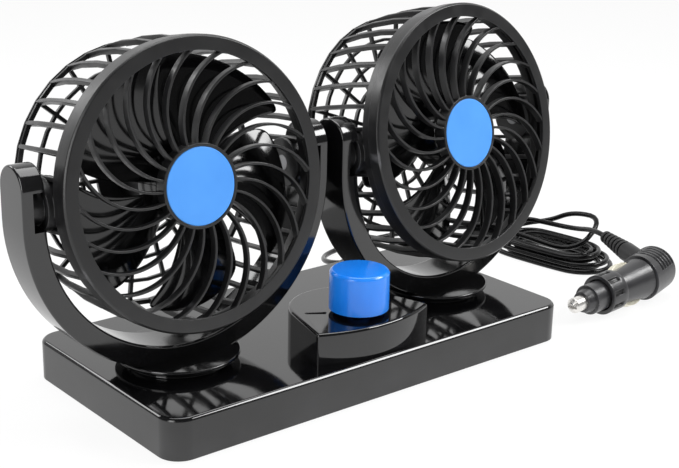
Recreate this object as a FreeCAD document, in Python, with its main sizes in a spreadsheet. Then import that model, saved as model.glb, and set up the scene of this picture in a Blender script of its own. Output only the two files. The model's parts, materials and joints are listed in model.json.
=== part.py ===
import FreeCAD
import Part
import Sketcher
import math
import os
import re

# Dual head car fan: two caged fans on swivelling yokes, one shared base with a speed knob, and a corded
# vehicle socket plug. Millimetres, +X along the base to the right, -Y to the front, +Z up. The origin is
# on the surface that the base stands on, under the middle of the base.
# A yoke is drawn on its swivel axis, and a fan head on its tilt axis with the air blowing along +Z, and
# each is then placed at the angles that the heads are left at.

SIZES = {
    # base shell and floor plate
    "base_length": 270,
    "base_depth": 136,
    "base_height": 22.5,
    "base_corner": 12,
    "base_edge": 1.4,
    "base_wall": 2.4,
    "floor_gap": 0.6,
    "plate_thickness": 2,
    "plate_gap": 0.3,
    "post_radius": 4,
    "post_inset": 13,
    "foot_radius": 9,
    "foot_inset": 32,
    "foot_recess": 0.8,
    "screw_radius": 1.4,
    "screw_head_radius": 2.8,
    "screw_head_height": 1,
    "screw_length": 11,
    "screw_fit": 0.05,
    "fit_gap": 0.1,
    # switch housing, switch and knob
    "pod_front_width": 77,
    "pod_front_y": -55,
    "pod_bulge": 9,
    "pod_radius": 31,
    "pod_centre_y": -31,
    "pod_top": 39.5,
    "pod_wall": 2.2,
    "pod_edge": 0.9,
    "pod_corner": 1.6,
    "mark_length": 11,
    "mark_width": 1,
    "mark_depth": 0.5,
    "mark_angle": 150,
    "window_length": 44,
    "window_width": 26,
    "knob_y": -42,
    "knob_radius": 16.1,
    "knob_top": 63.7,
    "knob_gap": 2.6,
    "knob_wall": 2.4,
    "knob_edge": 1.4,
    "knob_boss_radius": 6,
    "switch_width": 24,
    "switch_height": 9,
    "bush_radius": 4.5,
    "nut_radius": 7.5,
    "nut_height": 1.8,
    "shaft_radius": 3,
    "shaft_engaged": 13,
    "running_gap": 0.05,
    "resistor_length": 26,
    "resistor_width": 10,
    "resistor_height": 9,
    "resistor_y": 30,
    # swivels and yokes
    "swivel_spacing": 180,
    "swivel_y": -4,
    "left_swivel": -1,
    "right_swivel": 4,
    "seat_radius": 27,
    "seat_height": 3.2,
    "moving_gap": 0.3,
    "spigot_radius": 14,
    "spigot_bore": 8,
    "washer_radius": 19,
    "washer_thickness": 1.6,
    "table_radius": 32.5,
    "table_rim": 6.5,
    "table_round": 1.4,
    "table_crown": 3,
    "yoke_inner": 76,
    "yoke_thickness": 11.5,
    "yoke_depth": 24,
    "yoke_centre": 111,
    "yoke_edge": 1.2,
    "arm_top": 138.5,
    "notch_depth": 6.2,
    # tilting heads
    "pivot_height": 117.5,
    "left_tilt": 7,
    "right_tilt": 11,
    "pivot_radius": 4,
    "pivot_engaged": 2.8,
    "stub_radius": 9.2,
    "boss_radius": 13,
    "boss_root": 66,
    # front grille
    "face_forward": 24.5,
    "ring_radius": 73,
    "ring_face": 7.6,
    "ring_depth": 7.5,
    "ring_wall": 2.4,
    "ring_edge": 1,
    "hub_radius": 21,
    "hub_depth": 7,
    "badge_radius": 19.4,
    "badge_thickness": 1.6,
    "rib_count": 24,
    "rib_width": 1.3,
    "rib_depth": 4.5,
    "rib_drop": 0.5,
    # rear cage
    "cage_depth": 62,
    "flange_step": 0.6,
    "flange_width": 5,
    "flange_wall": 3.8,
    "bar_count": 36,
    "bar_width": 2.2,
    "bar_depth": 3,
    "bar_taper": 3,
    "bar_bow": 2,
    "band_width": 4,
    "band_wall": 2.4,
    "rear_thickness": 2.4,
    "rear_ring_width": 1.8,
    "rear_ring_step": 12,
    "rear_radius": 57,
    "spoke_count": 18,
    "spoke_width": 2,
    "motor_plate_radius": 24,
    # motor and impeller
    "motor_radius": 14,
    "motor_length": 32,
    "motor_nose_radius": 5,
    "motor_nose": 2.5,
    "axle_radius": 1.2,
    "axle_length": 14,
    "motor_screw_spread": 8,
    "impeller_hub": 19,
    "impeller_wall": 2.2,
    "impeller_depth": 19,
    "blade_count": 5,
    "blade_tip": 62,
    "blade_thickness": 1.5,
    "root_chord": 23,
    "root_angle": 42,
    "tip_chord": 44,
    "tip_angle": 25,
    "blade_bow": 2.4,
    # cord, its gland, and the hank that it lies in
    "cord_radius": 1.75,
    "cord_lift": 0.15,
    "cord_gap": 0.9,
    "gland_x": 96,
    "gland_z": 11.5,
    "gland_radius": 4.4,
    "gland_flange": 6,
    "gland_lip": 1.6,
    "gland_sleeve": 18,
    "gland_tip": 2.6,
    "tail_out": 20,
    "tail_turn": 22,
    "tail_back": 138,
    "hank_x": 246,
    "hank_y": 36,
    "hank_turn": -83,
    "hank_near": 13,
    "hank_far": 14,
    "hank_width": 29,
    "hank_front": 4,
    "hank_step": 5,
    "hank_laps": 4,
    "hank_lean": 2,
    "hank_set": 2,
    "loop_back": 27,
    "loop_front": 9,
    "loop_near": 22.5,
    "loop_far": 22,
    "loop_end": 40,
    "loop_top": 28,
    "loop_low": 11.5,
    # vehicle plug, measured from the joint of its cap and barrel
    "plug_x": 223.6,
    "plug_y": -54.4,
    "plug_z": 14.8,
    "plug_turn": 1.8,
    "plug_dip": 3.2,
    "cap_radius": 14.6,
    "cap_length": 25.5,
    "cap_edge": 2.5,
    "cap_bend": 12,
    "cap_gap": 0.8,
    "cap_grooves": 5,
    "cap_groove_step": 3.6,
    "cap_groove_width": 2.4,
    "cap_groove_depth": 1.6,
    "cap_groove_sweep": 130,
    "neck_radius": 8.6,
    "neck_length": 9,
    "barrel_radius": 10.8,
    "barrel_length": 26.5,
    "barrel_flare": 2.4,
    "collar_radius": 11.8,
    "collar_length": 10.5,
    "collar_notches": 9,
    "collar_notch": 1.6,
    "nose_radius": 9.3,
    "nose_length": 20,
    "nose_groove": 2,
    "nose_cone": 5.5,
    "nose_shoulder": 7.8,
    "nose_lip": 6.4,
    "tip_radius": 4.7,
    "tip_flange": 5.6,
    "tip_reach": 10,
    "tip_travel": 4,
    "tip_slot": 1.4,
    "fuse_radius": 3,
    "fuse_length": 25,
    "contact_length": 18,
    "contact_width": 5,
    "contact_rise": 3,
    "contact_depth": 3,
    "contact_travel": 1.2,
    "contact_angle": 210,
    "boot_back": 11,
    "boot_aside": 9.4,
    "boot_up": 7.2,
    "boot_turn": 18.4,
    "boot_rise": 4.6,
    "boot_radius": 6.3,
    "boot_plain": 16.2,
    "boot_ribs": 6,
    "boot_rib_step": 4.2,
    "boot_rib_depth": 1.4,
    "boot_end": 4.2,
}

SIDES = {"left": -1, "right": 1}

doc = FreeCAD.newDocument("dual_head_car_fan")
sheet = doc.addObject("Spreadsheet::Sheet", "sizes")
for row, (name, number) in enumerate(SIZES.items(), start=1):
    sheet.set(f"A{row}", name)
    sheet.set(f"B{row}", str(number))
    sheet.setAlias(f"B{row}", name)
doc.recompute()

node_items = {}


def bound(formula):
    """The formula with every size's name pointing at its cell."""
    return re.sub(r"[a-z]\w*", lambda word: ("sizes." if word[0] in SIZES else "") + word[0], str(formula))


def value(formula):
    """What a formula comes to with the sheet's numbers."""
    return float(sheet.evalExpression(bound(formula)))


def tie(item, **formulas):
    """Bind an item's properties to formulas."""
    for name, formula in formulas.items():
        item.setExpression(name.replace("__", "."), bound(formula))


def keep(label, item, place=None):
    """Name a finished sub-part, and place it where a placement formula says."""
    item.Label = label
    if place:
        tie(item, Placement=place)
    node_items[label] = item
    return item


def new_body(label):
    body = doc.addObject("PartDesign::Body", label)
    body.AllowCompound = True
    return body


def origin_part(body, role):
    return next(part for part in body.Origin.OriginFeatures if part.Role == role)


def sketch(body, plane, height="0"):
    """An empty sketch on one of the body's own planes, raised along the plane's normal."""
    drawing = body.newObject("Sketcher::SketchObject", body.Name + "_sketch")
    drawing.AttachmentSupport = [(origin_part(body, plane + "_Plane"), "")]
    drawing.MapMode = "FlatFace"
    tie(drawing, AttachmentOffset__Base__z=height)
    return drawing


def fix_point(drawing, shape, point, x, y):
    """Hold one point of a sketch at two formulas."""
    for kind, formula in (("DistanceX", x), ("DistanceY", y)):
        rule = drawing.addConstraint(Sketcher.Constraint(kind, -1, 1, shape, point, value(formula)))
        drawing.setExpression(f"Constraints[{rule}]", bound(formula))


def fix_radius(drawing, shape, formula):
    rule = drawing.addConstraint(Sketcher.Constraint("Radius", shape, value(formula)))
    drawing.setExpression(f"Constraints[{rule}]", bound(formula))


def arc_between(start, end, radius):
    """The shorter arc from start to end, anticlockwise for a positive radius."""
    chord = end - start
    across = FreeCAD.Vector(-chord.y, chord.x, 0) / chord.Length
    lift = math.sqrt(max(radius * radius - chord.Length ** 2 / 4, 0))
    centre = (start + end) / 2 + across * math.copysign(lift, radius)
    first, last = (start, end) if radius > 0 else (end, start)
    angles = [math.atan2(point.y - centre.y, point.x - centre.x) for point in (first, last)]
    return Part.ArcOfCircle(Part.Circle(centre, FreeCAD.Vector(0, 0, 1), abs(radius)), *angles)


def outline(drawing, corners):
    """A closed outline. A corner is (x, y), or (x, y, radius) where an arc leaves it for the next corner,
    anticlockwise if its radius is positive."""
    spots = [FreeCAD.Vector(value(corner[0]), value(corner[1]), 0) for corner in corners]
    ends = []
    first = drawing.GeometryCount
    for number, corner in enumerate(corners):
        here = spots[number]
        there = spots[(number + 1) % len(spots)]
        if len(corner) == 2:
            drawing.addGeometry(Part.LineSegment(here, there), False)
            ends.append((1, 2))
        else:
            radius = value(corner[2])
            drawing.addGeometry(arc_between(here, there, radius), False)
            ends.append((1, 2) if radius > 0 else (2, 1))
    for number, corner in enumerate(corners):
        after = (number + 1) % len(corners)
        drawing.addConstraint(
            Sketcher.Constraint("Coincident", first + number, ends[number][1], first + after, ends[after][0])
        )
        fix_point(drawing, first + number, ends[number][0], corner[0], corner[1])
        if len(corner) == 3:
            fix_radius(drawing, first + number, f"abs({corner[2]})")


def circle(drawing, x, y, radius):
    """A circle in a sketch."""
    spot = FreeCAD.Vector(value(x), value(y), 0)
    shape = drawing.addGeometry(Part.Circle(spot, FreeCAD.Vector(0, 0, 1), value(radius)), False)
    fix_point(drawing, shape, 3, x, y)
    fix_radius(drawing, shape, radius)


def hexagon(drawing, x, y, radius):
    """Six corners on a radius."""
    turns = range(0, 360, 60)
    outline(drawing, [(f"{x} + {radius} * cos({turn})", f"{y} + {radius} * sin({turn})") for turn in turns])


def rectangle(drawing, x_low, x_high, y_low, y_high):
    outline(drawing, [(x_low, y_low), (x_high, y_low), (x_high, y_high), (x_low, y_high)])


def add_feature(body, kind, drawing, **formulas):
    made = body.newObject("PartDesign::" + kind, f"{body.Name}_{kind.lower()}")
    made.Profile = drawing
    tie(made, **formulas)
    return made


def pad(body, drawing, length, reverse=False, both_ways=False):
    made = add_feature(body, "Pad", drawing, Length=length)
    made.Reversed = reverse
    made.Midplane = both_ways
    doc.recompute()
    return made


def cut(body, drawing, length, reverse=False, both_ways=False):
    """A pocket, which has to take something away."""
    before = body.Shape.Volume
    made = add_feature(body, "Pocket", drawing, Length=length)
    made.Reversed = reverse
    made.Midplane = both_ways
    doc.recompute()
    if body.Shape.Volume > before - 0.01:
        raise RuntimeError(f"{made.Name} cuts nothing")
    return made


def revolve(body, drawing):
    """Turn an outline drawn on XZ about the body's Z axis."""
    made = add_feature(body, "Revolution", drawing, Angle="360")
    made.ReferenceAxis = (drawing, ["V_Axis"])
    doc.recompute()
    return made


def polar(body, features, count):
    """Repeat features evenly about the body's Z axis."""
    made = body.newObject("PartDesign::PolarPattern", body.Name + "_pattern")
    made.Originals = features
    made.Axis = (origin_part(body, "Z_Axis"), [""])
    made.Angle = 360
    tie(made, Occurrences=count)
    body.Tip = made
    doc.recompute()
    return made


def mirror(body, features):
    """Repeat features on the other side of the body's YZ plane."""
    made = body.newObject("PartDesign::Mirrored", body.Name + "_mirror")
    made.Originals = features
    made.MirrorPlane = (origin_part(body, "YZ_Plane"), [""])
    body.Tip = made
    doc.recompute()
    return made


def dress_edges(body, kind, chosen, **formulas):
    """Fillet or chamfer the edges of the body that a test picks."""
    base = body.Tip
    names = [f"Edge{number}" for number, edge in enumerate(base.Shape.Edges, start=1) if chosen(edge)]
    made = body.newObject("PartDesign::" + kind, f"{body.Name}_{kind.lower()}")
    made.Base = (base, names)
    tie(made, **formulas)
    doc.recompute()
    return made


def round_edges(body, radius, chosen):
    return dress_edges(body, "Fillet", chosen, Radius=radius)


def bevel_edges(body, size, chosen):
    return dress_edges(body, "Chamfer", chosen, Size=size)


def hollow(body, wall, chosen):
    """Shell the body inwards, open at the faces that a test picks."""
    base = body.Tip
    names = [f"Face{number}" for number, face in enumerate(base.Shape.Faces, start=1) if chosen(face)]
    made = body.newObject("PartDesign::Thickness", body.Name + "_shell")
    made.Base = (base, names)
    tie(made, Value=wall)
    made.Reversed = True
    made.Join = "Intersection"
    doc.recompute()
    return made


def upright(edge):
    """Whether an edge is a straight line along Z."""
    return edge.BoundBox.ZLength > 1e-3 and max(edge.BoundBox.XLength, edge.BoundBox.YLength) < 1e-6


def at_height(level):
    """A test for edges and faces that lie flat at a height."""
    height = value(level)

    def test(shape):
        return abs(shape.BoundBox.ZMin - height) < 1e-4 and abs(shape.BoundBox.ZMax - height) < 1e-4

    return test


def turned_body(label, corners, place=None):
    """A body made by turning one outline of radii and heights."""
    body = new_body(label)
    drawing = sketch(body, "XZ")
    outline(drawing, corners)
    revolve(body, drawing)
    return keep(label, body, place)


def four_corners(inset):
    """Four points set in from the base's corners."""
    x = f"(base_length / 2 - {inset})"
    y = f"(base_depth / 2 - {inset})"
    return [("-" + x, "-" + y), (x, "-" + y), (x, y), ("-" + x, y)]


PLATE_TOP = "(floor_gap + plate_thickness)"
POST_SPOTS = four_corners("post_inset")
FOOT_SPOTS = four_corners("foot_inset")
SWIVEL_SPOTS = [("-swivel_spacing / 2", "swivel_y"), ("swivel_spacing / 2", "swivel_y")]
SEAT_TOP = "(base_height + seat_height)"


def base_cover():
    """Upper shell of the base: raised swivel seats outside, screw posts inside."""
    body = new_body("base_cover")
    plan = sketch(body, "XY", "floor_gap")
    rectangle(plan, "-base_length / 2", "base_length / 2", "-base_depth / 2", "base_depth / 2")
    pad(body, plan, "base_height - floor_gap")
    round_edges(body, "base_corner", upright)
    hollow(body, "base_wall", at_height("floor_gap"))
    bevel_edges(body, "base_edge", at_height("base_height"))
    seats = sketch(body, "XY", "base_height")
    for x, y in SWIVEL_SPOTS:
        circle(seats, x, y, "seat_radius")
    pad(body, seats, "seat_height")
    posts = sketch(body, "XY", PLATE_TOP)
    for x, y in POST_SPOTS:
        circle(posts, x, y, "post_radius")
    pad(body, posts, f"base_height - base_wall / 2 - {PLATE_TOP}")
    pilots = sketch(body, "XY", PLATE_TOP)
    for x, y in POST_SPOTS:
        circle(pilots, x, y, "screw_radius + screw_fit")
    cut(body, pilots, "screw_length", reverse=True)
    bores = sketch(body, "XY", SEAT_TOP)
    for x, y in SWIVEL_SPOTS:
        circle(bores, x, y, "spigot_radius + running_gap")
    cut(body, bores, "seat_height + 2 * base_wall")
    window = sketch(body, "XY", "base_height")
    rectangle(
        window,
        "-window_length / 2",
        "window_length / 2",
        "pod_centre_y - window_width / 2",
        "pod_centre_y + window_width / 2",
    )
    cut(body, window, "2 * base_wall")
    cord_hole = sketch(body, "XZ", "-base_depth / 2")
    circle(cord_hole, "gland_x", "gland_z", "gland_radius + fit_gap")
    cut(body, cord_hole, "4 * base_wall", both_ways=True)
    return keep("base_cover", body)


def base_plate():
    """Floor plate inside the shell, with a cradle for the speed resistor."""
    body = new_body("base_plate")
    half_length = "(base_length / 2 - base_wall - plate_gap)"
    half_depth = "(base_depth / 2 - base_wall - plate_gap)"
    plan = sketch(body, "XY", "floor_gap")
    rectangle(plan, "-" + half_length, half_length, "-" + half_depth, half_depth)
    pad(body, plan, "plate_thickness")
    round_edges(body, "base_corner - base_wall - plate_gap", upright)
    feet = sketch(body, "XY", "floor_gap")
    for x, y in FOOT_SPOTS:
        circle(feet, x, y, "foot_radius + fit_gap")
    cut(body, feet, "foot_recess", reverse=True)
    heads = sketch(body, "XY", "floor_gap")
    for x, y in POST_SPOTS:
        circle(heads, x, y, "screw_head_radius + fit_gap")
    cut(body, heads, "screw_head_height", reverse=True)
    holes = sketch(body, "XY", "floor_gap")
    for x, y in POST_SPOTS:
        circle(holes, x, y, "screw_radius + fit_gap")
    cut(body, holes, "2 * plate_thickness", reverse=True)
    cradle = sketch(body, "XY", PLATE_TOP)
    for side in ("-", ""):
        near = f"{side}(resistor_length / 2 + fit_gap)"
        far = f"{side}(resistor_length / 2 + fit_gap + plate_thickness)"
        low, high = (far, near) if side else (near, far)
        rectangle(cradle, low, high, "resistor_y - resistor_width / 2", "resistor_y + resistor_width / 2")
    pad(body, cradle, "resistor_height / 2")
    return keep("base_plate", body)


def base_screws():
    """Four screws that hold the floor plate to the posts."""
    body = new_body("base_screws")
    for radius, low, length in (
        ("screw_head_radius", "floor_gap", "screw_head_height"),
        ("screw_radius", "floor_gap + screw_head_height", "screw_length"),
    ):
        drawing = sketch(body, "XY", low)
        for x, y in POST_SPOTS:
            hexagon(drawing, x, y, radius)
        pad(body, drawing, length)
    return keep("base_screws", body)


def foot_pads():
    """Four pads let into the floor plate."""
    body = new_body("foot_pads")
    drawing = sketch(body, "XY")
    for x, y in FOOT_SPOTS:
        circle(drawing, x, y, "foot_radius")
    pad(body, drawing, "floor_gap + foot_recess")
    return keep("foot_pads", body)


def pod_plan(drawing, inset):
    """Plan of the switch housing, drawn in from its outer faces by an inset."""
    half = f"(pod_front_width / 2 - 1.4 * {inset})"
    front = f"(pod_front_y + {inset})"
    rear = f"(pod_radius - {inset})"
    lean = f"(({half} - {rear}) / (pod_centre_y - {front}))"
    bow = f"({half} ^ 2 / (2 * pod_bulge) + pod_bulge / 2)"
    shoulder = f"(pod_centre_y + {rear} * {lean})"
    shoulder_x = f"({rear} * (1 - {lean} ^ 2 / 2))"
    outline(
        drawing,
        [
            ("-" + half, front, bow),
            (half, front),
            (shoulder_x, shoulder, rear),
            ("0", f"pod_centre_y + {rear}", rear),
            ("-" + shoulder_x, shoulder),
        ],
    )


def switch_housing():
    """Raised housing of the switch: round behind, flared to a bowed front, with a mark beside the knob."""
    body = new_body("switch_housing")
    plan = sketch(body, "XY", "base_height")
    pod_plan(plan, "0")
    pad(body, plan, "pod_top - base_height")
    front = value("pod_front_y")
    round_edges(body, "pod_corner", lambda edge: upright(edge) and edge.BoundBox.YMax < front + 1)
    bevel_edges(body, "pod_edge", at_height("pod_top"))
    room = sketch(body, "XY", "base_height")
    pod_plan(room, "pod_wall")
    cut(body, room, "pod_top - pod_wall - base_height", reverse=True)
    bush_hole = sketch(body, "XY", "pod_top")
    circle(bush_hole, "0", "knob_y", "bush_radius + fit_gap")
    cut(body, bush_hole, "2 * pod_wall")
    mark = sketch(body, "XY", "pod_top")
    along = ("cos(mark_angle)", "sin(mark_angle)")
    across = ("-sin(mark_angle)", "cos(mark_angle)")
    near = "(knob_radius + 1.5 * mark_width)"
    far = f"({near} + mark_length)"
    outline(
        mark,
        [
            (
                f"{reach} * {along[0]} + {side} * mark_width / 2 * {across[0]}",
                f"knob_y + {reach} * {along[1]} + {side} * mark_width / 2 * {across[1]}",
            )
            for reach, side in ((near, "-1"), (far, "-1"), (far, "1"), (near, "1"))
        ],
    )
    cut(body, mark, "mark_depth")
    return keep("switch_housing", body)


KNOB_BOTTOM = "(pod_top + knob_gap)"
KNOB_PLACE = "placement(vector(0; knob_y; 0); rotation(vector(0; 0; 1); 0))"


def rotary_switch():
    """Switch hanging under the housing's top, with its threaded bush through the hole and a nut on it."""
    body = new_body("rotary_switch")
    drawing = sketch(body, "XY", "pod_top - pod_wall")
    rectangle(drawing, "-switch_width / 2", "switch_width / 2", "-switch_width / 2", "switch_width / 2")
    pad(body, drawing, "switch_height", reverse=True)
    round_edges(body, "pod_wall", upright)
    bush = sketch(body, "XY", "pod_top - pod_wall")
    circle(bush, "0", "0", "bush_radius")
    pad(body, bush, "pod_wall + nut_height")
    bore = sketch(body, "XY", "pod_top + nut_height")
    circle(bore, "0", "0", "shaft_radius + running_gap")
    cut(body, bore, "nut_height + pod_wall + switch_height * 0.7")
    keep("rotary_switch", body, KNOB_PLACE)
    nut = new_body("switch_nut")
    plan = sketch(nut, "XY", "pod_top")
    hexagon(plan, "0", "0", "nut_radius")
    circle(plan, "0", "0", "bush_radius + screw_fit")
    pad(nut, plan, "nut_height")
    keep("switch_nut", nut, KNOB_PLACE)


def knob():
    """Round knob, hollow underneath round a boss that grips the switch's shaft."""
    shaft_low = "(pod_top - pod_wall - switch_height / 2)"
    shaft_high = f"({KNOB_BOTTOM} + shaft_engaged)"
    ceiling = "(knob_top - knob_wall)"
    turned_body(
        "knob",
        [
            ("shaft_radius + screw_fit", KNOB_BOTTOM),
            ("knob_boss_radius", KNOB_BOTTOM),
            ("knob_boss_radius", ceiling),
            ("knob_radius - knob_wall", ceiling),
            ("knob_radius - knob_wall", KNOB_BOTTOM),
            ("knob_radius", KNOB_BOTTOM),
            ("knob_radius", "knob_top - knob_edge"),
            ("knob_radius - knob_edge", "knob_top"),
            ("0", "knob_top"),
            ("0", shaft_high),
            ("shaft_radius + screw_fit", shaft_high),
        ],
        KNOB_PLACE,
    )
    turned_body(
        "switch_shaft",
        [("0", shaft_low), ("shaft_radius", shaft_low), ("shaft_radius", shaft_high), ("0", shaft_high)],
        KNOB_PLACE,
    )


def speed_resistor():
    """Ceramic dropping resistor for the low speed."""
    block = doc.addObject("Part::Box", "speed_resistor")
    tie(block, Length="resistor_length", Width="resistor_width", Height="resistor_height")
    keep(
        "speed_resistor",
        block,
        f"placement(vector(-resistor_length / 2; resistor_y - resistor_width / 2; {PLATE_TOP});"
        " rotation(vector(0; 0; 1); 0))",
    )


def cord_gland():
    """Flanged strain relief in the back wall, tapering outwards to the cord."""
    inner = "-base_wall - gland_lip"
    turned_body(
        "cord_gland",
        [
            ("0", inner),
            ("gland_flange", inner),
            ("gland_flange", "-base_wall"),
            ("gland_radius", "-base_wall"),
            ("gland_radius", "0"),
            ("gland_flange", "0"),
            ("gland_radius", "gland_lip"),
            ("gland_tip", "gland_lip + gland_sleeve"),
            ("0", "gland_lip + gland_sleeve"),
        ],
        "placement(vector(gland_x; base_depth / 2; gland_z); rotation(vector(1; 0; 0); -90))",
    )


def yoke_place(side):
    return (
        f"placement(vector({SIDES[side]} * swivel_spacing / 2; swivel_y; 0);"
        f" rotation(vector(0; 0; 1); {side}_swivel))"
    )


def head_place(side):
    tilted = f"placement(vector(0; 0; pivot_height); rotation(vector(1; 0; 0); 90 - {side}_tilt))"
    return f"{yoke_place(side)} * {tilted}"


TABLE_BOTTOM = "(base_height + seat_height + moving_gap)"
SPIGOT_END = "(base_height - base_wall - moving_gap)"
YOKE_OUTER = "(yoke_inner + yoke_thickness)"
SCREW_ORBIT = "((spigot_bore + spigot_radius) / 2)"


def yoke(side):
    """Swivelling fork: a U with rounded arm ends on a round turntable, whose spigot turns in the base.
    A notch in the inner face of each arm, open to the front, lets the head's pivot in."""
    body = new_body(f"{side}_yoke")
    drop = f"(yoke_centre - {TABLE_BOTTOM})"
    foot_x = f"sqrt({YOKE_OUTER} ^ 2 - {drop} ^ 2)"
    profile = sketch(body, "XZ")
    outline(
        profile,
        [
            ("-" + YOKE_OUTER, "arm_top"),
            ("-" + YOKE_OUTER, "yoke_centre", YOKE_OUTER),
            ("-" + foot_x, TABLE_BOTTOM),
            (foot_x, TABLE_BOTTOM, YOKE_OUTER),
            (YOKE_OUTER, "yoke_centre"),
            (YOKE_OUTER, "arm_top"),
            ("yoke_inner", "arm_top"),
            ("yoke_inner", "yoke_centre", "-yoke_inner"),
            ("0", "yoke_centre - yoke_inner", "-yoke_inner"),
            ("-yoke_inner", "yoke_centre"),
            ("-yoke_inner", "arm_top"),
        ],
    )
    pad(body, profile, "yoke_depth", both_ways=True)
    top = at_height("arm_top")
    round_edges(
        body, "yoke_depth / 2 - 0.05", lambda edge: top(edge) and edge.BoundBox.YLength < 1e-6
    )
    half = value("yoke_depth / 2")
    bevel_edges(
        body,
        "yoke_edge",
        lambda edge: edge.BoundBox.YLength < 1e-6
        and abs(abs(edge.BoundBox.YMin) - half) < 1e-4
        and edge.BoundBox.ZMin > value(TABLE_BOTTOM) + 1e-3,
    )
    table = sketch(body, "XZ")
    rim_top = f"({TABLE_BOTTOM} + table_rim)"
    outline(
        table,
        [
            ("0", f"{TABLE_BOTTOM} + table_round"),
            ("spigot_bore", f"{TABLE_BOTTOM} + table_round"),
            ("spigot_bore", SPIGOT_END),
            ("spigot_radius", SPIGOT_END),
            ("spigot_radius", TABLE_BOTTOM),
            ("table_radius - table_round", TABLE_BOTTOM),
            ("table_radius", f"{TABLE_BOTTOM} + table_round"),
            ("table_radius", f"{rim_top} - table_round"),
            ("table_radius - table_round", rim_top),
            ("yoke_depth / 2", f"{rim_top} + table_crown"),
            ("0", f"{rim_top} + table_crown"),
        ],
    )
    revolve(body, table)
    notch = sketch(body, "YZ", "yoke_inner + notch_depth")
    channel = "(stub_radius + moving_gap)"
    outline(
        notch,
        [
            ("-yoke_depth", f"pivot_height - {channel}"),
            ("0", f"pivot_height - {channel}", channel),
            (channel, "pivot_height", channel),
            ("0", f"pivot_height + {channel}"),
            ("-yoke_depth", f"pivot_height + {channel}"),
        ],
    )
    notches = cut(body, notch, "notch_depth + yoke_edge")
    pin_bore = sketch(body, "YZ", "yoke_inner + notch_depth + pivot_engaged + moving_gap")
    circle(pin_bore, "0", "pivot_height", "pivot_radius + running_gap")
    bores = cut(body, pin_bore, "pivot_engaged + 2 * moving_gap")
    mirror(body, [notches, bores])
    pilots = sketch(body, "XY", SPIGOT_END)
    for turn in ("-1", "1"):
        circle(pilots, f"{turn} * {SCREW_ORBIT}", "0", "screw_radius + screw_fit")
    cut(body, pilots, "screw_length / 2 + moving_gap", reverse=True)
    return keep(f"{side}_yoke", body, yoke_place(side))


def swivel_fixings(side):
    """Washer under the base's top that holds the turntable down, and its two screws."""
    washer = new_body(f"{side}_swivel_washer")
    drawing = sketch(washer, "XY", SPIGOT_END)
    circle(drawing, "0", "0", "washer_radius")
    circle(drawing, "0", "0", "spigot_bore")
    for turn in ("-1", "1"):
        circle(drawing, f"{turn} * {SCREW_ORBIT}", "0", "screw_radius + fit_gap")
    pad(washer, drawing, "washer_thickness", reverse=True)
    keep(f"{side}_swivel_washer", washer, yoke_place(side))
    screws = new_body(f"{side}_swivel_screws")
    for radius, height, length, reverse in (
        ("screw_radius", f"{SPIGOT_END} - washer_thickness", "screw_length / 2 + washer_thickness", False),
        ("screw_head_radius", f"{SPIGOT_END} - washer_thickness", "screw_head_height", True),
    ):
        drawing = sketch(screws, "XY", height)
        for turn in ("-1", "1"):
            hexagon(drawing, f"{turn} * {SCREW_ORBIT}", "0", radius)
        pad(screws, drawing, length, reverse=reverse)
    keep(f"{side}_swivel_screws", screws, yoke_place(side))


RING_INNER = "(ring_radius - ring_face)"
RING_BACK = "(face_forward - ring_depth)"
HUB_BACK = "(face_forward - hub_depth)"
RIB_END = f"({RING_INNER} + ring_wall / 2)"
RIB_START = "(hub_radius - ring_wall / 4)"
RIB_BEND = f"((sqrt(2 * {RIB_END} ^ 2 - {RIB_START} ^ 2) - {RIB_START}) / 2)"


def front_grille(side):
    """Front ring and hub joined by thin ribs. Each rib leaves the hub straight out and sweeps a quarter
    turn clockwise to the ring."""
    body = new_body(f"{side}_front_grille")
    ring = sketch(body, "XZ")
    outline(
        ring,
        [
            (RING_INNER, "face_forward - ring_wall"),
            ("ring_radius - ring_wall", "face_forward - ring_wall"),
            ("ring_radius - ring_wall", RING_BACK),
            ("ring_radius", RING_BACK),
            ("ring_radius", "face_forward - ring_edge"),
            ("ring_radius - ring_edge", "face_forward"),
            (RING_INNER, "face_forward"),
        ],
    )
    outline(
        ring,
        [
            ("0", HUB_BACK),
            ("hub_radius", HUB_BACK),
            ("hub_radius", "face_forward"),
            ("badge_radius + fit_gap", "face_forward"),
            ("badge_radius + fit_gap", "face_forward - badge_thickness"),
            ("0", "face_forward - badge_thickness"),
        ],
    )
    revolve(body, ring)
    rib = sketch(body, "XY", "face_forward - rib_drop")
    outer = f"({RIB_BEND} + rib_width / 2)"
    inner = f"({RIB_BEND} - rib_width / 2)"
    outline(
        rib,
        [
            (RIB_START, f"{inner} - {RIB_BEND}", "-" + inner),
            (f"{RIB_START} + {inner}", "-" + RIB_BEND),
            (f"{RIB_START} + {outer}", "-" + RIB_BEND, outer),
            (RIB_START, f"{outer} - {RIB_BEND}"),
        ],
    )
    ribs = pad(body, rib, "rib_depth", reverse=True)
    polar(body, [ribs], "rib_count")
    return keep(f"{side}_front_grille", body, head_place(side))


def hub_badge(side):
    """Plain coloured disc let into the grille's hub."""
    body = new_body(f"{side}_hub_badge")
    drawing = sketch(body, "XY", "face_forward - badge_thickness")
    circle(drawing, "0", "0", "badge_radius")
    pad(body, drawing, "badge_thickness")
    bevel_edges(body, "badge_thickness / 4", at_height("face_forward"))
    return keep(f"{side}_hub_badge", body, head_place(side))


CAGE_BACK = "(face_forward - cage_depth)"
FLANGE_RADIUS = "(ring_radius - flange_step)"
FLANGE_BACK = f"({RING_BACK} - flange_width)"
REAR_RINGS = 3


def rear_ring(body, radius, low, height, width):
    """A many sided ring, with a corner at each bar."""
    for kind, reach in (("Additive", radius), ("Subtractive", f"{radius} - {width}")):
        prism = body.newObject(f"PartDesign::{kind}Prism", body.Name + "_ring")
        tie(prism, Polygon="bar_count", Circumradius=reach, Height=height, Placement__Base__z=low)
        doc.recompute()


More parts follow.
